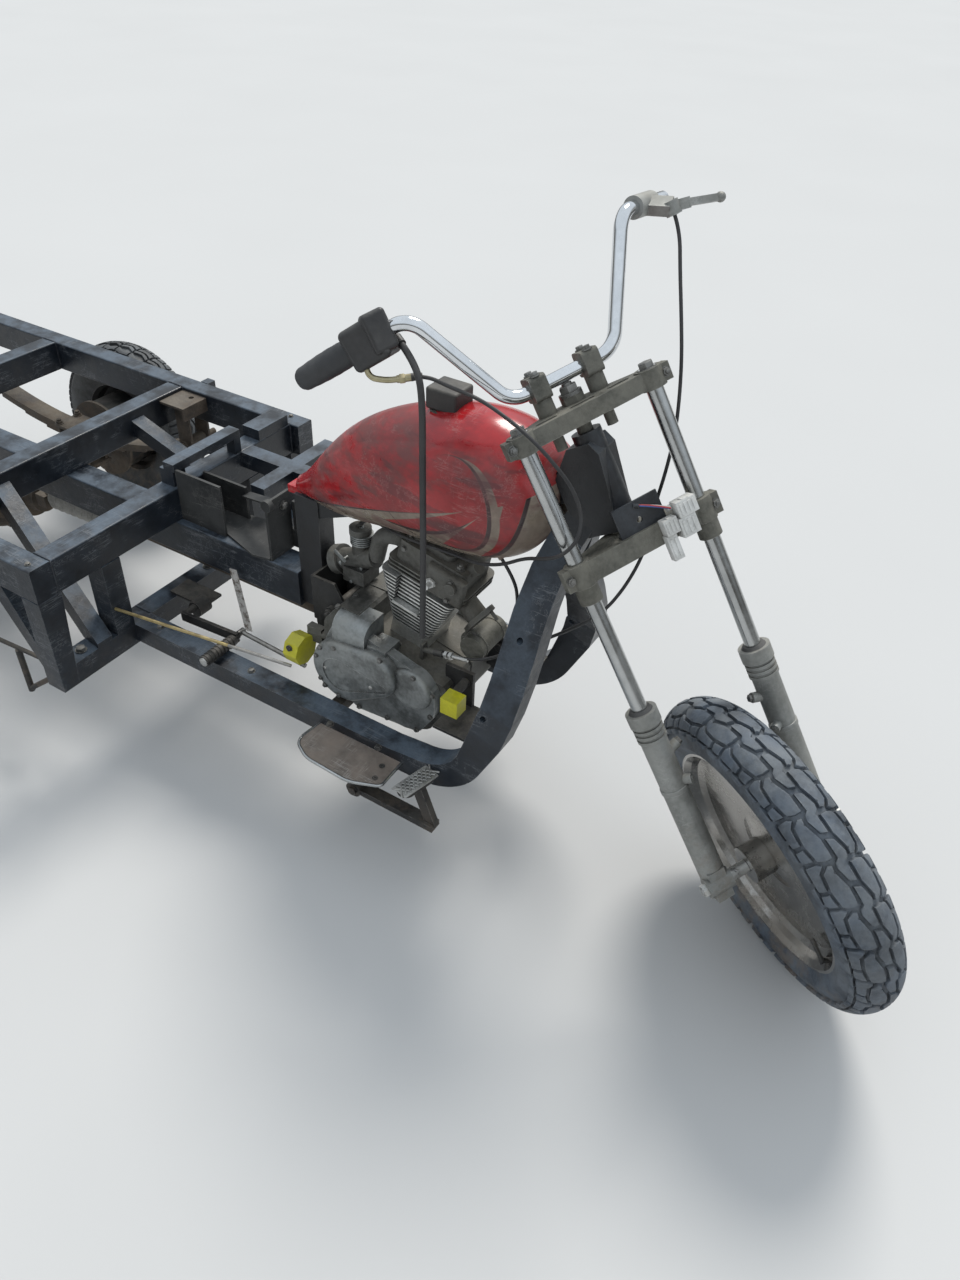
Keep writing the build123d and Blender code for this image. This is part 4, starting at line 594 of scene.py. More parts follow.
for look, names in node_finish.items():
    for name in names:
        if name in nodes:
            nodes[name].data.materials.clear()
            nodes[name].data.materials.append(finish[look])


def new_piece(name, bm, look, body="chassis", smooth_under=30.0, replaced=()):
    """Turns a bmesh into a piece that rides on a body."""
    bmesh.ops.remove_doubles(bm, verts=bm.verts, dist=1e-6)
    bmesh.ops.recalc_face_normals(bm, faces=bm.faces)
    mesh = bpy.data.meshes.new(name)
    bm.to_mesh(mesh)
    bm.free()
    mesh.shade_smooth()
    mesh.set_sharp_from_angle(angle=math.radians(smooth_under))
    mesh.materials.append(finish[look])
    piece = placed(name, mesh)
    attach(piece, body)
    if replaced:
        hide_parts(*replaced)
    return piece


def drawn_along(bm, points, radii, sides=8):
    """A round bar: one ring drawn through the points, closed at both ends."""
    tangent = (points[1] - points[0]).normalized()
    side = tangent.orthogonal().normalized()
    last = None
    edges = None
    for i, point in enumerate(points):
        ahead = points[min(i + 1, len(points) - 1)] - points[max(i - 1, 0)]
        tangent = ahead.normalized()
        side = (side - tangent * side.dot(tangent)).normalized()
        turn = Matrix((side, tangent.cross(side), tangent)).transposed().to_4x4()
        radius = radii[i] if isinstance(radii, (list, tuple)) else radii
        place = Matrix.Translation(point) @ turn @ Matrix.Diagonal((radius, radius, radius, 1.0))
        if last is None:
            made = bmesh.ops.create_circle(bm, cap_ends=True, segments=sides, radius=1.0, matrix=place)
            edges = list({edge for vert in made["verts"] for edge in vert.link_edges})
        else:
            grown = bmesh.ops.extrude_edge_only(bm, edges=edges)["geom"]
            edges = [e for e in grown if isinstance(e, bmesh.types.BMEdge) and e.is_boundary]
            verts = [v for v in grown if isinstance(v, bmesh.types.BMVert)]
            bmesh.ops.transform(bm, matrix=place @ last.inverted(), verts=verts)
        last = place
    bmesh.ops.contextual_create(bm, geom=edges)


def bent_line(points, radii, step=0.004):
    """Straight runs of a steel bar joined by its round bends."""
    line = [points[0]]
    for before, corner, after, radius in zip(points, points[1:], points[2:], radii):
        into = (corner - before).normalized()
        out = (after - corner).normalized()
        half = into.angle(out) / 2
        centre = corner + (out - into).normalized() * radius / math.cos(half)
        arm = corner - into * radius * math.tan(half) - centre
        count = max(2, math.ceil(2 * half * radius / step))
        for i in range(count + 1):
            line.append(centre + Matrix.Rotation(2 * half * i / count, 3, into.cross(out)) @ arm)
    line.append(points[-1])
    return line


def facing(at, along):
    """Places something built up Z so that it stands on a point and looks along a direction."""
    return Matrix.Translation(at) @ Vector(along).to_track_quat("Z", "Y").to_matrix().to_4x4()


def bevelled(bm, edges, offset, segments=2):
    bmesh.ops.bevel(bm, geom=edges, offset=offset, affect="EDGES", segments=segments, profile=0.5,
                    material=-1)


def add_disc(bm, place, radius, low, high, sides=20, top_radius=None, soften=0.0):
    """A turned boss between two heights."""
    middle = place @ Matrix.Translation((0, 0, (low + high) / 2))
    made = bmesh.ops.create_cone(bm, cap_ends=True, cap_tris=False, segments=sides, radius1=radius,
                                 radius2=top_radius or radius, depth=high - low, matrix=middle)
    if soften:
        top_way = (place.to_3x3() @ Vector((0, 0, 1))).normalized()
        tops = [f for v in made["verts"] for f in v.link_faces if f.normal.dot(top_way) > 0.99]
        bevelled(bm, list({e for f in tops for e in f.edges}), soften)


def add_block(bm, place, size, soften=0.001, segments=2):
    """A bevelled block about its middle."""
    made = bmesh.ops.create_cube(bm, size=1.0, matrix=place @ Matrix.Diagonal((*size, 1.0)))
    bevelled(bm, list({e for v in made["verts"] for e in v.link_edges}), soften, segments)


def turned_piece(name, stacks, look, body="chassis", smooth_under=30.0, blocks=()):
    """Stacks of discs, each a place and the rows that add_disc takes after it, and then blocks."""
    bm = bmesh.new()
    for place, rows in stacks:
        for row in rows:
            add_disc(bm, place, *row)
    for block in blocks:
        add_block(bm, *block)
    return new_piece(name, bm, look, body, smooth_under)


def add_bolt(bm, at, along, size, thread):
    """Hexagon head on a washer, with the thread that stands out of a nut."""
    place = facing(at, along)
    washer = size * 0.22
    top = washer + size * 0.72
    add_disc(bm, place, size * 1.25, -size * 0.1, washer, 16)
    add_disc(bm, place, size, washer - size * 0.05, top, 6, soften=size * 0.13)
    if thread:
        add_disc(bm, place, size * 0.55, washer, top + thread, 12, soften=size * 0.08)


def bolted(name, rows, look="bolt_steel", body="chassis"):
    """One piece of many bolts: place, direction, half width of the head, length of thread."""
    bm = bmesh.new()
    for row in rows:
        add_bolt(bm, *row)
    return new_piece(name, bm, look, body)


def add_weld(bm, start, end, radius):
    """Rippled bead between two points."""
    count = max(3, round((end - start).length / 0.0045))
    points = []
    radii = []
    for i in range(count + 1):
        share = i / count
        swell = 0.86 + 0.14 * math.sin(i * 2.3) + 0.05 * math.sin(i * 0.9)
        points.append(start.lerp(end, share))
        radii.append(radius * swell * min(1.0, 0.35 + 6 * share * (1 - share)))
    drawn_along(bm, points, radii, 7)


def wheel_matrix(centre, across):
    """Places a wheel built about Z so that Z lies along its axle."""
    turn = across.to_track_quat("Z", "X").to_matrix().to_4x4()
    return Matrix.Translation(centre) @ turn


def cord_line(name, route):
    """Smooth curve with the route's points as its control points."""
    data = bpy.data.curves.new(name, "CURVE")
    data.dimensions = "3D"
    data.resolution_u = 10
    spline = data.splines.new("NURBS")
    spline.points.add(len(route) - 1)
    for point, place in zip(spline.points, route):
        point.co = (*place, 1.0)
    spline.order_u = 3
    spline.use_endpoint_u = True
    return data


def thickened(data, radius):
    data.bevel_depth = radius
    data.bevel_resolution = 3
    data.use_fill_caps = True


def curve_mesh(name, data):
    """Mesh of a curve, taken through an object that is removed again."""
    lent = bpy.data.objects.new(name, data)
    mesh = bpy.data.meshes.new_from_object(lent)
    bpy.data.objects.remove(lent)
    return mesh


def line_points(data):
    """Points along the smooth curve itself."""
    mesh = curve_mesh("line", data)
    points = [v.co.copy() for v in mesh.vertices]
    bpy.data.meshes.remove(mesh)
    return points


throttle_route = [spot(*p) for p in (
    (1.453, -0.152, 1.025), (1.471, -0.138, 1.028), (1.507, -0.129, 1.016), (1.553, -0.120, 1.007),
    (1.604, -0.125, 0.993), (1.651, -0.132, 0.976), (1.684, -0.125, 0.946), (1.713, -0.115, 0.911),
    (1.734, -0.115, 0.871), (1.740, -0.134, 0.839), (1.722, -0.149, 0.812), (1.690, -0.142, 0.791),
    (1.650, -0.124, 0.768), (1.602, -0.112, 0.728), (1.540, -0.084, 0.690), (1.472, -0.062, 0.674),
    (1.396, -0.056, 0.664), (1.320, -0.040, 0.654), (1.259, -0.012, 0.646), (1.230, -0.002, 0.614))]
clutch_route = [spot(*p) for p in (
    (1.681, 0.216, 1.211), (1.694, 0.214, 1.190), (1.712, 0.192, 1.142), (1.734, 0.168, 1.086),
    (1.754, 0.146, 1.030), (1.768, 0.127, 0.975), (1.778, 0.107, 0.925), (1.782, 0.082, 0.867),
    (1.779, 0.066, 0.814), (1.784, 0.048, 0.745), (1.776, 0.004, 0.690), (1.752, -0.032, 0.640),
    (1.700, -0.042, 0.590), (1.645, -0.042, 0.540), (1.592, -0.044, 0.492), (1.545, -0.050, 0.456),
    (1.500, -0.056, 0.441), (1.456, -0.058, 0.434))]
loom_route = [spot(*p) for p in (
    (1.433, -0.145, 1.068), (1.470, -0.164, 1.055), (1.490, -0.175, 1.018), (1.490, -0.175, 0.890),
    (1.491, -0.174, 0.740), (1.490, -0.175, 0.570))]
hose_route = [spot(*p) for p in (
    (1.572, -0.058, 0.698), (1.600, -0.061, 0.670), (1.612, -0.064, 0.632), (1.609, -0.067, 0.580),
    (1.604, -0.069, 0.530), (1.601, -0.069, 0.482))]
bridge_low_top = 0.63016
wires_route = [steer_point(0.054, 0.014, 0.668), steer_point(0.066, 0.030, 0.662),
               steer_point(0.068, 0.054, 0.646)]


def held_cable(name, route, radius):
    """Cable held at both ends, from the engine to the turning bar."""
    data = cord_line(name, route)
    thickened(data, radius)
    mesh = curve_mesh(name + "_line", data)
    mesh.shade_smooth()
    mesh.materials.clear()
    mesh.materials.append(finish["cable_black"])
    piece = placed(name + "_sheath", mesh)
    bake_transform(piece)
    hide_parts(name)


def free_cord(name, route, radius, body):
    data = cord_line(name + "_run", route)
    thickened(data, radius)
    data.materials.append(finish["cable_black"])
    piece = placed(name + "_run", data)
    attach(piece, body)
    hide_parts(name)


cable_radius = 0.003
hose_radius = 0.003
loom_radius = 0.00525
held_cable("throttle_cable", throttle_route, cable_radius)
held_cable("clutch_cable", clutch_route, cable_radius)
free_cord("switch_loom", loom_route, loom_radius, "steering")
free_cord("vent_hose", hose_route, hose_radius, "chassis")


def make_plugs():
    """White connector housings with pin windows in front of the lower bridge."""
    bm = bmesh.new()
    rows = (
        # depth forward, right and left edge off the middle, lower and upper face above the bridge
        (0.024, 0.058, 0.092, -0.004, 0.022),
        (0.022, 0.054, 0.084, -0.036, -0.004),
        (0.020, 0.030, 0.054, -0.022, 0.004),
        (0.016, 0.028, 0.046, -0.064, -0.022),
    )
    for deep, a0, a1, t0, t1 in rows:
        size = (deep, a1 - a0, t1 - t0)
        middle = Matrix.Translation((0.058 + deep / 2, (a0 + a1) / 2, bridge_low_top + (t0 + t1) / 2))
        add_block(bm, steer_frame @ middle, size, 0.0012)
        front = middle @ Matrix.Translation((deep / 2, 0, 0))
        count = max(2, round(size[1] / 0.009))
        for i in range(count):
            across = (i + 0.5) / count - 0.5
            rib = Matrix.Translation((0.0004, across * size[1] * 0.86, 0))
            rib_size = (0.0022, size[1] / count * 0.5, size[2] * 0.72)
            add_block(bm, steer_frame @ front @ rib, rib_size, 0.0006, 1)
        latch = Matrix.Translation((-deep * 0.35, 0, size[2] / 2))
        add_block(bm, steer_frame @ front @ latch, (deep * 0.6, size[1] * 0.35, 0.003), 0.0008, 1)
    tie = steer_frame @ Matrix.Translation((0.060, 0.056, bridge_low_top + 0.014))
    add_disc(bm, facing(tie.translation, turned_left), 0.005, -0.006, 0.004, 12)
    return new_piece("connector_housings", bm, "white_plastic", "steering", 30.0, ("plugs",))


def make_plug_wires(housings):
    """Four coloured wires that run together into the connectors."""
    line = line_points(cord_line("plug_wires_line", wires_route))
    for i, look in enumerate(("red_wire", "blue_wire", "cable_black", "white_plastic")):
        bm = bmesh.new()
        points = []
        for k, point in enumerate(line):
            angle = math.radians(90 * i) + k * 0.10
            points.append(point + (axis_up * math.cos(angle) + turned_front * math.sin(angle)) * 0.0014)
        drawn_along(bm, points, 0.0012, 7)
        replaced = ("plug_wires",) if i == 0 else ()
        new_piece("plug_wire_" + str(i), bm, look, "steering", 60.0, replaced)


make_plug_wires(make_plugs())


class TyreShape:
    """Cross section of a tyre: crown arc, then a rounder side."""

    def __init__(self, radius, half_width, bead_radius, bead_half, crown, groove):
        self.radius = radius
        self.half_width = half_width
        self.bead_radius = bead_radius
        self.bead_half = bead_half
        self.crown = crown
        self.groove = groove
        self.turn = math.asin(0.9 * half_width / crown)
        self.crown_arc = crown * self.turn
        self.side_bend = 0.75 * half_width

    def surface(self, across, depth):
        """Radius and axial place of a point: its arc from the middle, its depth below the tread top."""
        side = 1 if across >= 0 else -1
        arc = abs(across)
        if arc <= self.crown_arc:
            angle = arc / self.crown
            centre_r, centre_a, bend = self.radius - self.crown, 0.0, self.crown
        else:
            angle = self.turn + (arc - self.crown_arc) / self.side_bend
            slide = self.crown - self.side_bend
            centre_r = self.radius - self.crown + slide * math.cos(self.turn)
            centre_a = slide * math.sin(self.turn)
            bend = self.side_bend
        reach = bend - depth
        return centre_r + reach * math.cos(angle), side * (centre_a + reach * math.sin(angle))


def tyre_carcass(bm, shape):
    """Body of the tyre at the groove floor, spun about Z."""
    count = 14
    end = shape.crown_arc + 0.30 * shape.half_width
    ring = [shape.surface(end * step / count, shape.groove) for step in range(-count, count + 1)]
    widest = shape.half_width * 0.985
    mid_r = 0.5 * (ring[0][0] + shape.bead_radius)
    bead = [(mid_r, widest), (shape.bead_radius + 0.010, shape.bead_half + 0.006),
            (shape.bead_radius - 0.006, shape.bead_half - 0.003)]
    section = [(r, -a) for r, a in reversed(bead)] + ring + bead
    verts = [bm.verts.new((r, 0, a)) for r, a in section]
    edges = [bm.edges.new(pair) for pair in zip(verts, verts[1:])]
    edges.append(bm.edges.new((verts[-1], verts[0])))
    bmesh.ops.spin(bm, geom=verts + edges, cent=(0, 0, 0), axis=(0, 0, 1), angle=2 * math.pi, steps=96,
                   use_merge=True)


def tread_pitch(shape, outlines, pitch, depth, cell):
    """One pitch of raised blocks: flat outlines are cut up, raised, tapered and bent round the crown."""
    bm = bmesh.new()
    for outline in outlines:
        block = bmesh.new()
        corners = [block.verts.new((u * pitch, v / 1000.0, 0)) for u, v in outline]
        block.faces.new(corners)
        low = Vector(map(min, zip(*[c.co for c in corners])))
        high = Vector(map(max, zip(*[c.co for c in corners])))
        middle = (low + high) / 2
        for axis in (0, 1):
            count = max(1, round((high[axis] - low[axis]) / cell))
            normal = Vector((1, 0, 0)) if axis == 0 else Vector((0, 1, 0))
            for i in range(1, count):
                cut = low + (high - low) * (i / count)
                bmesh.ops.bisect_plane(block, geom=block.verts[:] + block.edges[:] + block.faces[:],
                                       dist=1e-6, plane_co=cut, plane_no=normal)
        raised = bmesh.ops.extrude_face_region(block, geom=block.faces[:])
        tops = [v for v in raised["geom"] if isinstance(v, bmesh.types.BMVert)]
        for v in tops:
            v.co.z = depth
            v.co.xy = middle.xy + (v.co.xy - middle.xy) * 0.955
        rim = [e for e in block.edges
               if e.calc_face_angle(0) > 0.9 and all(v.co.z > depth / 2 for v in e.verts)]
        bevelled(block, rim, 0.0009, 1)
        for v in block.verts:
            r, a = shape.surface(v.co.y, shape.groove - v.co.z)
            angle = v.co.x / shape.radius
            v.co = Vector((r * math.cos(angle), r * math.sin(angle), a))
        spare = bpy.data.meshes.new("block")
        block.to_mesh(spare)
        block.free()
        bm.from_mesh(spare)
        bpy.data.meshes.remove(spare)
    return bm


def turned_about(outline):
    """The same block on the other side of the tyre."""
    return [(1.0 - u, -v) for u, v in outline]


def make_tyre(name, shape, outlines, pitches, look, body, node, place, cell=0.009):
    pitch = 2 * math.pi * shape.radius / pitches
    bm = tread_pitch(shape, outlines, pitch, shape.groove, cell)
    bmesh.ops.spin(bm, geom=bm.verts[:] + bm.edges[:] + bm.faces[:], cent=(0, 0, 0), axis=(0, 0, 1),
                   angle=2 * math.pi * (pitches - 1) / pitches, steps=pitches - 1, use_duplicate=True)
    tyre_carcass(bm, shape)
    bmesh.ops.transform(bm, matrix=place, verts=bm.verts)
    return new_piece(name, bm, look, body, 50.0, (node,))


front_blocks = [
    # each outline is a list of (share of the pitch, mm across from the middle)
    [(0.03, -5), (0.09, 6), (0.40, 13), (0.50, 11), (0.57, 4), (0.97, 5), (0.91, -6), (0.60, -13),
     (0.50, -11), (0.43, -4)],
    [(0.60, 10.5), (1.00, 10.5), (1.38, 19), (1.50, 17.5), (1.53, 24), (1.42, 35), (1.02, 38), (0.66, 33),
     (0.60, 22)],
    [(0.70, 39), (0.98, 43.5), (0.98, 57), (0.74, 57)],
    [(1.06, 43.5), (1.43, 41), (1.56, 31), (1.63, 38), (1.63, 57), (1.08, 57)],
    [(0.78, 61), (1.20, 61), (1.15, 70), (0.84, 70)],
    [(1.29, 61), (1.69, 61), (1.64, 70), (1.34, 70)],
]
front_blocks += [turned_about(outline) for outline in front_blocks[1:]]
front_shape = TyreShape(0.300, 0.0528, 0.214, 0.0385, 0.056, 0.0065)
make_tyre("front_tyre_tread", front_shape, front_blocks, 24, "front_rubber", "front_wheel", "front_tyre",
          wheel_matrix(front_hub, turned_left))

rear_blocks = [
    [(0.04, -6), (0.50, 3), (0.96, -6), (0.96, 4), (0.50, 13), (0.04, 4)],
    [(0.05, 11), (0.50, 20), (0.95, 11), (0.95, 28), (0.50, 34), (0.05, 28)],
    [(0.06, 34), (0.45, 40), (0.45, 64), (0.06, 64)],
    [(0.55, 40), (0.94, 34), (0.94, 64), (0.55, 64)],
]
rear_blocks += [turned_about(outline) for outline in rear_blocks[1:]]
rear_shape = TyreShape(0.240, 0.066, 0.138, 0.052, 0.090, 0.007)
for side, across in (("left", 1), ("right", -1)):
    make_tyre("rear_tyre_tread_" + side, rear_shape, rear_blocks, 30, "rear_rubber", "rear_wheel_" + side,
              "rear_tyre_" + side, wheel_matrix(rear_hubs[side], Vector((0, across, 0))), 0.012)


def seat(node, aim, along, reach=0.4):
    """Where a line that comes in against a direction first meets a piece."""
    along = Vector(along).normalized()
    hit, place, _, _ = nodes[node].ray_cast(Vector(aim) + along * reach, -along)
    return place if hit else Vector(aim)


def seated(node, aims, along, size, thread=0.0, reach=0.4):
    """Rows for bolted(), each bolt standing on the face that it meets."""
    return [(seat(node, aim, along, reach), along, size, thread) for aim in aims]


bpy.context.view_layer.update()
up = Vector((0, 0, 1))
outward = {"left": Vector((0, 1, 0)), "right": Vector((0, -1, 0))}

# Handlebar: two low bends, then two that turn the grips back
bar_height = 0.88816
bar_radius = 0.011
bar_corners = [steer_point(*p) for p in (
    (-0.128, -0.340, bar_height + 0.156), (0, -0.178, bar_height + 0.172), (0, -0.090, bar_height),
    (0, 0.090, bar_height), (0, 0.178, bar_height + 0.172), (-0.0885, 0.290, bar_height + 0.1609))]
bar_bends = (0.036, 0.042, 0.042, 0.036)
handlebar = bmesh.new()
drawn_along(handlebar, bent_line(bar_corners, bar_bends), bar_radius, 24)
new_piece("bent_bar", handlebar, "chrome", "steering", 40.0, ("handlebar",))


def spun_piece(name, place, profile, look, smooth_under=30.0, replaced=()):
    """Solid of revolution about Z from (radius, height) pairs, on the handlebar."""
    bm = bmesh.new()
    verts = [bm.verts.new((r, 0, h)) for r, h in profile]
    edges = [bm.edges.new(pair) for pair in zip(verts, verts[1:])]
    bmesh.ops.spin(bm, geom=verts + edges, cent=(0, 0, 0), axis=(0, 0, 1), angle=2 * math.pi, steps=28,
                   use_merge=True)
    bmesh.ops.transform(bm, matrix=place, verts=bm.verts)
    new_piece(name, bm, look, "steering", smooth_under, replaced)


# Twist grip: swollen in the middle, round at its end, with a brass coloured collar
grip_length = 0.128
grip_end = grip_length + 0.006
grip_way = (bar_corners[0] - bar_corners[1]).normalized()
grip_place = facing(bar_corners[0] - grip_way * grip_length, grip_way)
sleeve = [(0.0005, 0.0), (0.0185, 0.0), (0.0185, 0.004)]
for i in range(13):
    share = i / 12
    swell = 0.0182 + 0.0026 * math.sin(math.pi * share) - 0.0004 * (i % 2)
    sleeve.append((swell, 0.006 + (grip_end - 0.018) * share))
for angle in (20, 45, 68):
    turn = math.radians(angle)
    sleeve.append((0.0180 * math.cos(turn) ** 0.6, grip_end - 0.012 + 0.012 * math.sin(turn)))
sleeve.append((0.0005, grip_end))
spun_piece("grip_sleeve", grip_place, sleeve, "grip_rubber", 40.0, ("grip_right",))
collar = [(0.0115, -0.008), (0.0225, -0.008), (0.0245, -0.006), (0.0245, -0.003), (0.0215, 0.0005),
          (0.0115, 0.0005), (0.0115, -0.008)]
spun_piece("grip_collar", grip_place, collar, "dull_brass")

# Nut and boot at the elbow, and the threaded adjuster with its two nuts at the engine
elbow = facing(throttle_route[0], (throttle_route[1] - throttle_route[0]).normalized())
turned_piece("elbow_nut", [(elbow, [(0.0075, -0.016, -0.008, 6, None, 0.0008), (0.0056, -0.020, 0.002, 16)])],
             "dull_brass", "steering")
turned_piece("elbow_boot", [(elbow, [(0.0060, 0.001, 0.018, 16, 0.0046)])], "cap_plastic", "steering")
adjuster = facing(clutch_route[-1], (clutch_route[-2] - clutch_route[-1]).normalized())
nuts = [(0.0082, low, low + 0.006, 6, None, 0.0009) for low in (0.006, 0.016)]
turned_piece("cable_adjuster", [(adjuster, [(0.0042, -0.006, 0.056, 16)] + nuts)], "bright_steel")
turned_piece("adjuster_boot", [(adjuster, [(0.0072, -0.018, 0.001, 16)])], "cap_plastic")

# Engine: bolts of the case and its covers, head nuts, plug, starter
rows = seated("engine_crankcase", [spot(1.2368, -0.094, 0.4745), spot(1.2467, -0.050, 0.478),
                                   spot(1.300, -0.070, 0.478)], up, 0.0052)
cover_middle = Vector((1.350, 0.0, 0.350))
for x, z in ((1.222, 0.300), (1.216, 0.400), (1.238, 0.446), (1.366, 0.434), (1.440, 0.414), (1.478, 0.378),
             (1.474, 0.318), (1.440, 0.264), (1.365, 0.257), (1.290, 0.252)):
    inward = (cover_middle - Vector((x, 0, z))).normalized() * 0.007
    for out in (outward["right"], outward["left"]):
        rows += seated("engine_covers", [spot(x + inward.x, out.y * 0.2, z + inward.z)], out, 0.0050)
for angle in (100, 160, 215, 265):
    turn = math.radians(angle)
    aim = spot(1.268 + 0.060 * math.cos(turn), -0.2, 0.352 + 0.060 * math.sin(turn))
    rows += seated("engine_covers", [aim], outward["right"], 0.0044)
bolted("engine_bolts", rows)

lean = math.radians(12)
barrel_up = Vector((math.sin(lean), 0, math.cos(lean)))
barrel_along = Vector((math.cos(lean), 0, -math.sin(lean)))
barrel_foot = spot(1.364, 0.0, 0.416)


def on_barrel(along, y, height):
    return barrel_foot + barrel_along * along + barrel_up * height + Vector((0, y, 0))


aims = [on_barrel(along, y, 0.245) for along in (-0.045, 0.066) for y in (-0.037, 0.037)]
rows = seated("cylinder_head", aims, barrel_up, 0.0072, 0.004, 0.15)
aims = [on_barrel(along, -0.10, height) for along in (-0.045, 0.068) for height in (0.172, 0.215)]
rows += seated("cylinder_head", aims, outward["right"], 0.0050, 0.0, 0.15)
bolted("head_nuts", rows)

# Plug on the right of the head with its cap
plug_foot = seat("cylinder_head", on_barrel(0.030, -0.10, 0.190), outward["right"], 0.1)
plug = facing(plug_foot, Vector((0.25, -1.0, 0.28)).normalized())
turned_piece("spark_plug", [(plug, [(0.0105, -0.003, 0.002, 6), (0.0090, 0.002, 0.010, 6, None, 0.001),
                                    (0.0048, 0.010, 0.030, 16)])], "white_plastic")

# Starter motor that lies across the case in front of the barrel
motor = facing(spot(1.512, 0.0, 0.462), outward["left"])
motor_rows = [(0.026, -0.044, 0.046, 32, None, 0.003), (0.0272, -0.030, -0.026, 32),
              (0.0272, 0.028, 0.032, 32), (0.010, 0.046, 0.052, 20, None, 0.001)]
saddle = Matrix.Translation(spot(1.492, 0.0, 0.452))
turned_piece("starter_motor", [(motor, motor_rows)], "cast_grey", "chassis", 35.0,
             [(saddle, (0.030, 0.060, 0.040), 0.004)])

# Frame, axle and small fittings
rows = seated("low_cross", [spot(0.721, y, 0.3) for y in (-0.323, 0.053, 0.323)], up, 0.010)
rows += seated("battery_tray", [spot(1.05, 0.018, 0.5697)], Vector((1, 0, 0)), 0.0080, 0.0, 0.1)
for side, out in outward.items():
    rows += seated("rail_" + side, [spot(0.7228, out.y * 0.383, 0.56)], up, 0.0050)
    rows += seated("cradle_" + side, [spot(x, out.y * 0.174, 0.32) for x in (0.80, 1.06)], up, 0.0065)
bolted("plated_bolts", rows)


def on_right(node, x, z, y=-0.1, reach=0.1):
    """Place on the right face of a piece, looking out of it."""
    return facing(seat(node, spot(x, y, z), outward["right"], reach), outward["right"])


# Dark centre of the yellow cap behind the engine: a dark disc that is painted shade for the hole in its
# middle
centre_rows = [(0.0080, -0.002, 0.0008, 20), (0.0052, 0.0008, 0.0030, 6, None, 0.0006)]
turned_piece("cap_centre", [(on_right("yellow_caps", 1.142, 0.357, -0.3, 0.2), centre_rows)],
             "cap_plastic")

# Ribbed sleeve and bright end of the foot lever
pin = facing(spot(0.976, -0.134, 0.300), outward["right"])
ribs = [(0.0122, 0.003 + 0.0092 * i, 0.003 + 0.0092 * i + 0.0062, 20, 0.0134) for i in range(9)]
turned_piece("lever_sleeve", [(pin, ribs)], "cap_plastic")
turned_piece("lever_end", [(pin, [(0.0100, 0.080, 0.0905, 20, None, 0.001)])], "bright_steel")

# Lugs that held the front fender, each beside a raised ring of its slider
leg_ahead = 0.0421
leg_half = 0.110
stacks = []
for side in (-1, 1):
    leg = facing(steer_point(leg_ahead, side * leg_half, 0.0), axis_up)
    way = (steer_turn @ Vector((0.62, -0.78 * side, 0.0)).to_4d()).to_3d()
    lug = facing(steer_point(leg_ahead, side * leg_half, 0.214), way)
    stacks.append((leg, [(0.0246, 0.1980, 0.2070, 32, None, 0.0012)]))
    stacks.append((lug, [(0.0088, 0.018, 0.036, 20, None, 0.001), (0.0046, 0.036, 0.038, 6)]))
turned_piece("slider_lugs", stacks, "slider_alloy", "steering")

# Carburettor: ribbed slide cap, bowl screws, idle screw and the lever of the cold start
cap_rows = [(0.0232, 0.572 + 0.0044 * i, 0.572 + 0.0044 * i + 0.0028, 24) for i in range(5)]
stacks = [(Matrix.Translation(spot(1.2290, 0.0, 0.0)), cap_rows + [(0.0075, 0.592, 0.606, 12, 0.0055)])]
for x, z in ((1.190, 0.488), (1.218, 0.488), (1.190, 0.520), (1.236, 0.520)):
    stacks.append((on_right("carburettor", x, z), [(0.0036, -0.002, 0.003, 12, None, 0.0006)]))
idle = on_right("carburettor", 1.204, 0.536)
stacks.append((idle, [(0.0034, -0.002, 0.013, 12)]))
lever = Matrix.Translation(idle.translation + Vector((-0.008, -0.011, 0.006)))
lever = lever @ Matrix.Rotation(math.radians(35), 4, "Y")
turned_piece("carburettor_fittings", stacks, "engine_alloy",
             blocks=[(lever, (0.032, 0.0024, 0.008), 0.0008)])

cover_rows = [(0.0042, -0.001, 0.0022, 16, None, 0.0006)]
turned_piece("cover_screws", [(on_right("engine_covers", x, z, -0.3, 0.2), cover_rows)
                              for x, z in ((1.2300, 0.3480), (1.3420, 0.3500))], "bright_steel")

rows = []
for out in outward.values():
    for x in (0.435, -0.495):
        rows.append((spot(x, out.y * 0.363, 0.405), out, 0.0105, 0.0))
        rows.append((spot(x, out.y * 0.291, 0.405), -out, 0.0105, 0.008))
    rows += [(spot(x, out.y * y, 0.3155), up, 0.0095, 0.0) for x in (-0.072, 0.012) for y in (0.298, 0.362)]
for i in range(10):
    angle = 2 * math.pi * i / 10
    for y, out in ((0.052, outward["left"]), (0.028, outward["right"])):
        at = spot(-0.030 + 0.097 * math.cos(angle), y, 0.240 + 0.097 * math.sin(angle))
        rows.append((at, out, 0.0070, 0.0))
bolted("frame_bolts", rows, "rusty_steel")

rows = []
for out in outward.values():
    aims = [spot(1.190, out.y * 0.12, 0.423), spot(1.516, out.y * 0.16, 0.400)]
    rows += seated("engine_mounts", aims, out, 0.0090, 0.006)
rows += seated("pedal_brackets", [spot(1.300, -0.215, 0.29), spot(1.415, -0.215, 0.29)], up, 0.006)
bolted("mount_bolts", rows, "dark_steel")

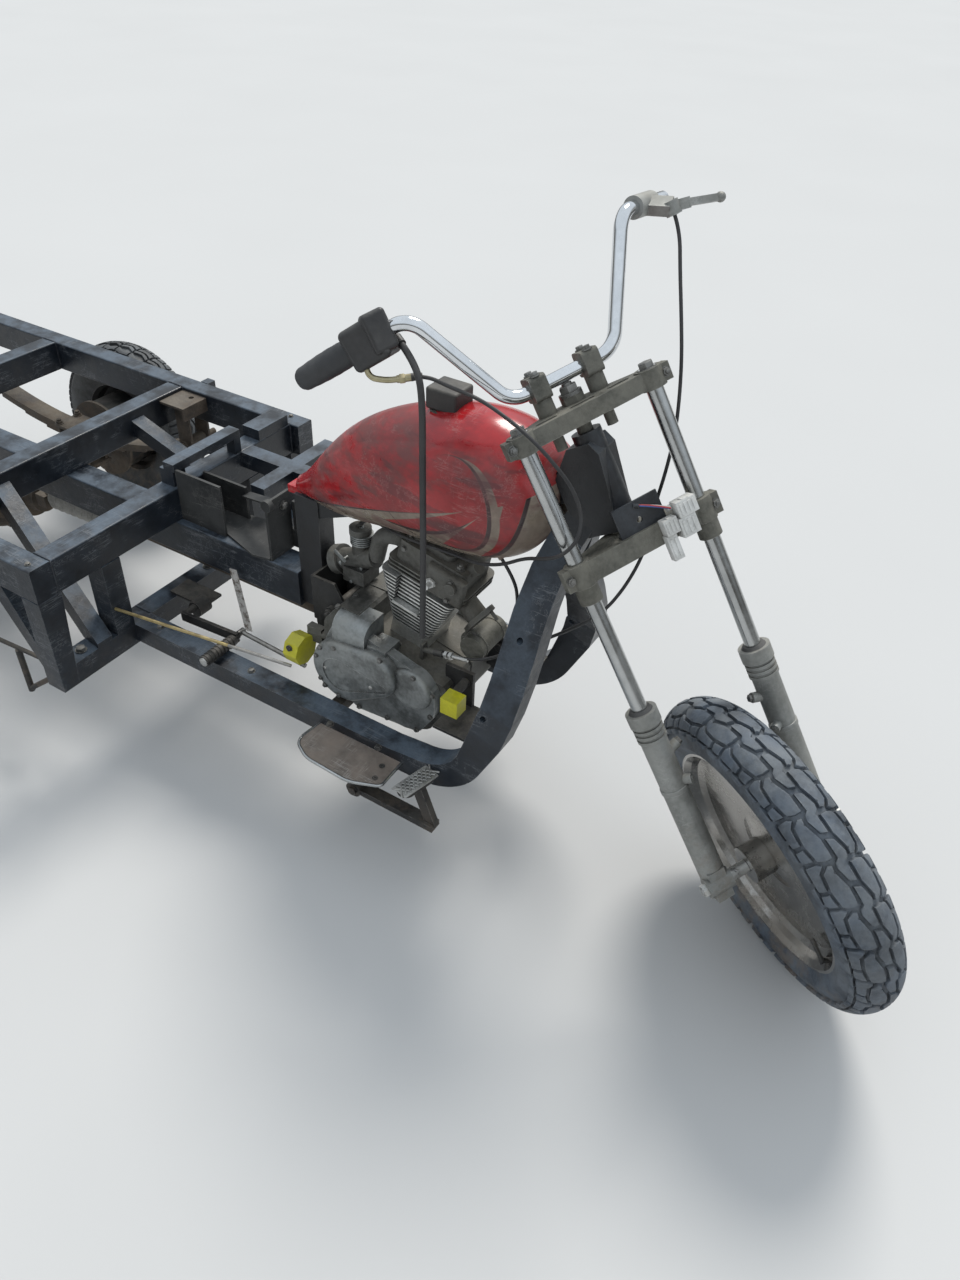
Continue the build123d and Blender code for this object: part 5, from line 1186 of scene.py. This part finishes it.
# Fork caps, stem nut, clamp and pinch bolts of the two bridges, and the seals of the sliders
rows = []
for a in (-leg_half, leg_half):
    rows.append((steer_point(leg_ahead, a, 0.8450), axis_up, 0.0125, 0.0))
    for node, t in (("top_bridge", 0.8316), ("lower_bridge", 0.6126)):
        rows += seated(node, [steer_point(leg_ahead - 0.018, a * 1.19, t)], turned_front, 0.0065, 0.004, 0.1)
rows.append((steer_point(0, 0, 0.8585), axis_up, 0.0150, 0.004))
aims = [steer_point(n, a, 0.93) for a in (-0.045, 0.045) for n in (-0.0135, 0.0135)]
rows += seated("top_bridge", aims, axis_up, 0.0066, 0.0, 0.05)
for side in (-1, 1):
    across = (steer_turn @ Vector((0, -side, 0.35)).normalized().to_4d()).to_3d()
    rows.append((steer_point(leg_ahead, side * leg_half, 0.262) + across * 0.038, across, 0.0068, 0.0))
    rows.append((steer_point(leg_ahead - 0.032, side * leg_half, 0.236), -turned_front, 0.0068, 0.0))
bolted("fork_bolts", rows, "bolt_steel", "steering")
seal_rows = [(0.0262, 0.3405, 0.3440, 32), (0.0215, 0.3570, 0.3625, 32, 0.0175)]
stacks = [(facing(steer_point(leg_ahead, a, 0.0), axis_up), seal_rows) for a in (-leg_half, leg_half)]
turned_piece("fork_seals", stacks, "black_plastic", "steering", 35.0)

# Weld beads where the cross beams and posts meet the rails
beads = bmesh.new()
for side in (-1, 1):
    for x in (0.721, 0.370, -0.102, -0.575):
        for edge in (-0.0255, 0.0255):
            y = side * 0.3505
            add_weld(beads, spot(x + edge, y, 0.460), spot(x + edge, y, 0.533), 0.0032)
        add_weld(beads, spot(x - 0.024, side * 0.350, 0.5355), spot(x + 0.024, side * 0.350, 0.5355), 0.0026)
    for x in (0.6965, 0.7455):
        add_weld(beads, spot(x, side * 0.351, 0.4565), spot(x, side * 0.399, 0.4565), 0.0032)
    for y in (0.198, 0.150):
        add_weld(beads, spot(0.697, side * y, 0.2815), spot(0.745, side * y, 0.2815), 0.0032)
new_piece("weld_beads", beads, "weld_metal", smooth_under=60.0)

# Foot plates: thin, with rounded outer corners, a rolled rim and dark sunk screws at their front end
plate_top = 0.259
plate_outline = ((1.258, 0.198), (1.251, 0.262), (1.296, 0.287), (1.400, 0.292), (1.459, 0.268),
                 (1.457, 0.198))
plate_bends = (0.030, 0.060, 0.080, 0.014)
plate_holes = ((1.4309, 0.2253), (1.4382, 0.2577))
sheets = bmesh.new()
rims = bmesh.new()
for side in (-1, 1):
    outline = bent_line([spot(x, side * y, plate_top) for x, y in plate_outline], plate_bends, 0.005)
    face = sheets.faces.new([sheets.verts.new(point) for point in outline])
    raised = bmesh.ops.extrude_face_region(sheets, geom=[face])["geom"]
    lowered = [v for v in raised if isinstance(v, bmesh.types.BMVert)]
    bmesh.ops.translate(sheets, vec=(0, 0, -0.0035), verts=lowered)
    drawn_along(rims, [point - up * 0.0015 for point in outline], 0.0034)
new_piece("plate_rims", rims, "fork_steel", smooth_under=50.0)
new_piece("plate_sheets", sheets, "worn_plate", replaced=("footplates",))
screw_rows = [(0.0062, -0.001, 0.0006, 20), (0.0036, 0.0006, 0.0016, 6)]
turned_piece("plate_screws", [(Matrix.Translation(spot(x, side * y, plate_top)), screw_rows)
                              for side in (-1, 1) for x, y in plate_holes], "dark_steel")

# Ribbed alloy tread of the brake pedal
pad = Matrix.Translation(spot(1.522, -0.244, 0.2875)) @ Matrix.Rotation(math.radians(76), 4, "Z")
blocks = [(pad, (0.082, 0.036, 0.004), 0.0015)]
for i in range(8):
    for angle in (38, -38):
        rib = Matrix.Translation((-0.035 + 0.010 * i, 0, 0.0030))
        rib = rib @ Matrix.Rotation(math.radians(angle), 4, "Z")
        blocks.append((pad @ rib, (0.0032, 0.036, 0.0036), 0.0008, 1))
turned_piece("pedal_tread", [], "pad_alloy", blocks=blocks)

# Valve stem on the front rim with its rubber foot
valve_foot = spot(2.2733, -0.1135, 0.1739)
valve = facing(valve_foot, (front_hub - valve_foot).normalized())
turned_piece("valve_stem", [(valve, [(0.0058, -0.004, 0.009, 16, 0.0040), (0.0038, 0.009, 0.030, 12),
                                     (0.0044, 0.030, 0.039, 12, None, 0.0008)])],
             "cap_plastic", "front_wheel", 35.0)


def make_floor():
    bm = bmesh.new()
    bmesh.ops.create_grid(bm, x_segments=1, y_segments=1, size=40.0)
    mesh = bpy.data.meshes.new("studio_floor")
    bm.to_mesh(mesh)
    bm.free()
    floor = placed("studio_floor", mesh)
    w, shader = bare_material("pale_floor")
    w.put(shader["Base Color"], w.mix(w.noise(w.place(), 0.8, 2.0), (0.53, 0.53, 0.525), (0.56, 0.56, 0.555)))
    shader["Roughness"].default_value = 0.9
    shader["Specular IOR Level"].default_value = 0.0
    mesh.materials.append(finish["pale_floor"])


def make_light():
    """Pale surround with one soft key from the far left."""
    scene = bpy.context.scene
    scene.world = bpy.data.worlds.new("studio")
    scene.world.use_nodes = True
    scene.world.node_tree.nodes.clear()
    w = Wiring(scene.world.node_tree)
    path = w.node("ShaderNodeLightPath").outputs
    seen = w.most(path["Is Camera Ray"], path["Is Transmission Ray"])
    height = w.part(w.node("ShaderNodeTexCoord").outputs["Generated"], 2)
    sky = w.mix(w.between(height, 0.06, 0.42), (0.16, 0.16, 0.15), (0.86, 0.93, 1.0))
    even = w.fed("ShaderNodeBackground", {"Color": sky, "Strength": 0.98})
    pale = w.fed("ShaderNodeBackground", {"Color": (0.735, 0.775, 0.80, 1.0), "Strength": 1.0})
    blend = w.fed("ShaderNodeMixShader", {0: seen, 1: even.outputs[0], 2: pale.outputs[0]})
    w.put(w.node("ShaderNodeOutputWorld").inputs["Surface"], blend.outputs[0])
    data = bpy.data.lights.new("key", "SUN")
    data.energy = 2.35
    data.angle = math.radians(22)
    data.color = (1.0, 0.965, 0.91)
    lamp = placed("key", data)
    lamp.matrix_world = Vector((0.8, -3.0, -4.2)).to_track_quat("-Z", "Y").to_matrix().to_4x4()
    scene.view_settings.view_transform = "Standard"


make_floor()
make_light()
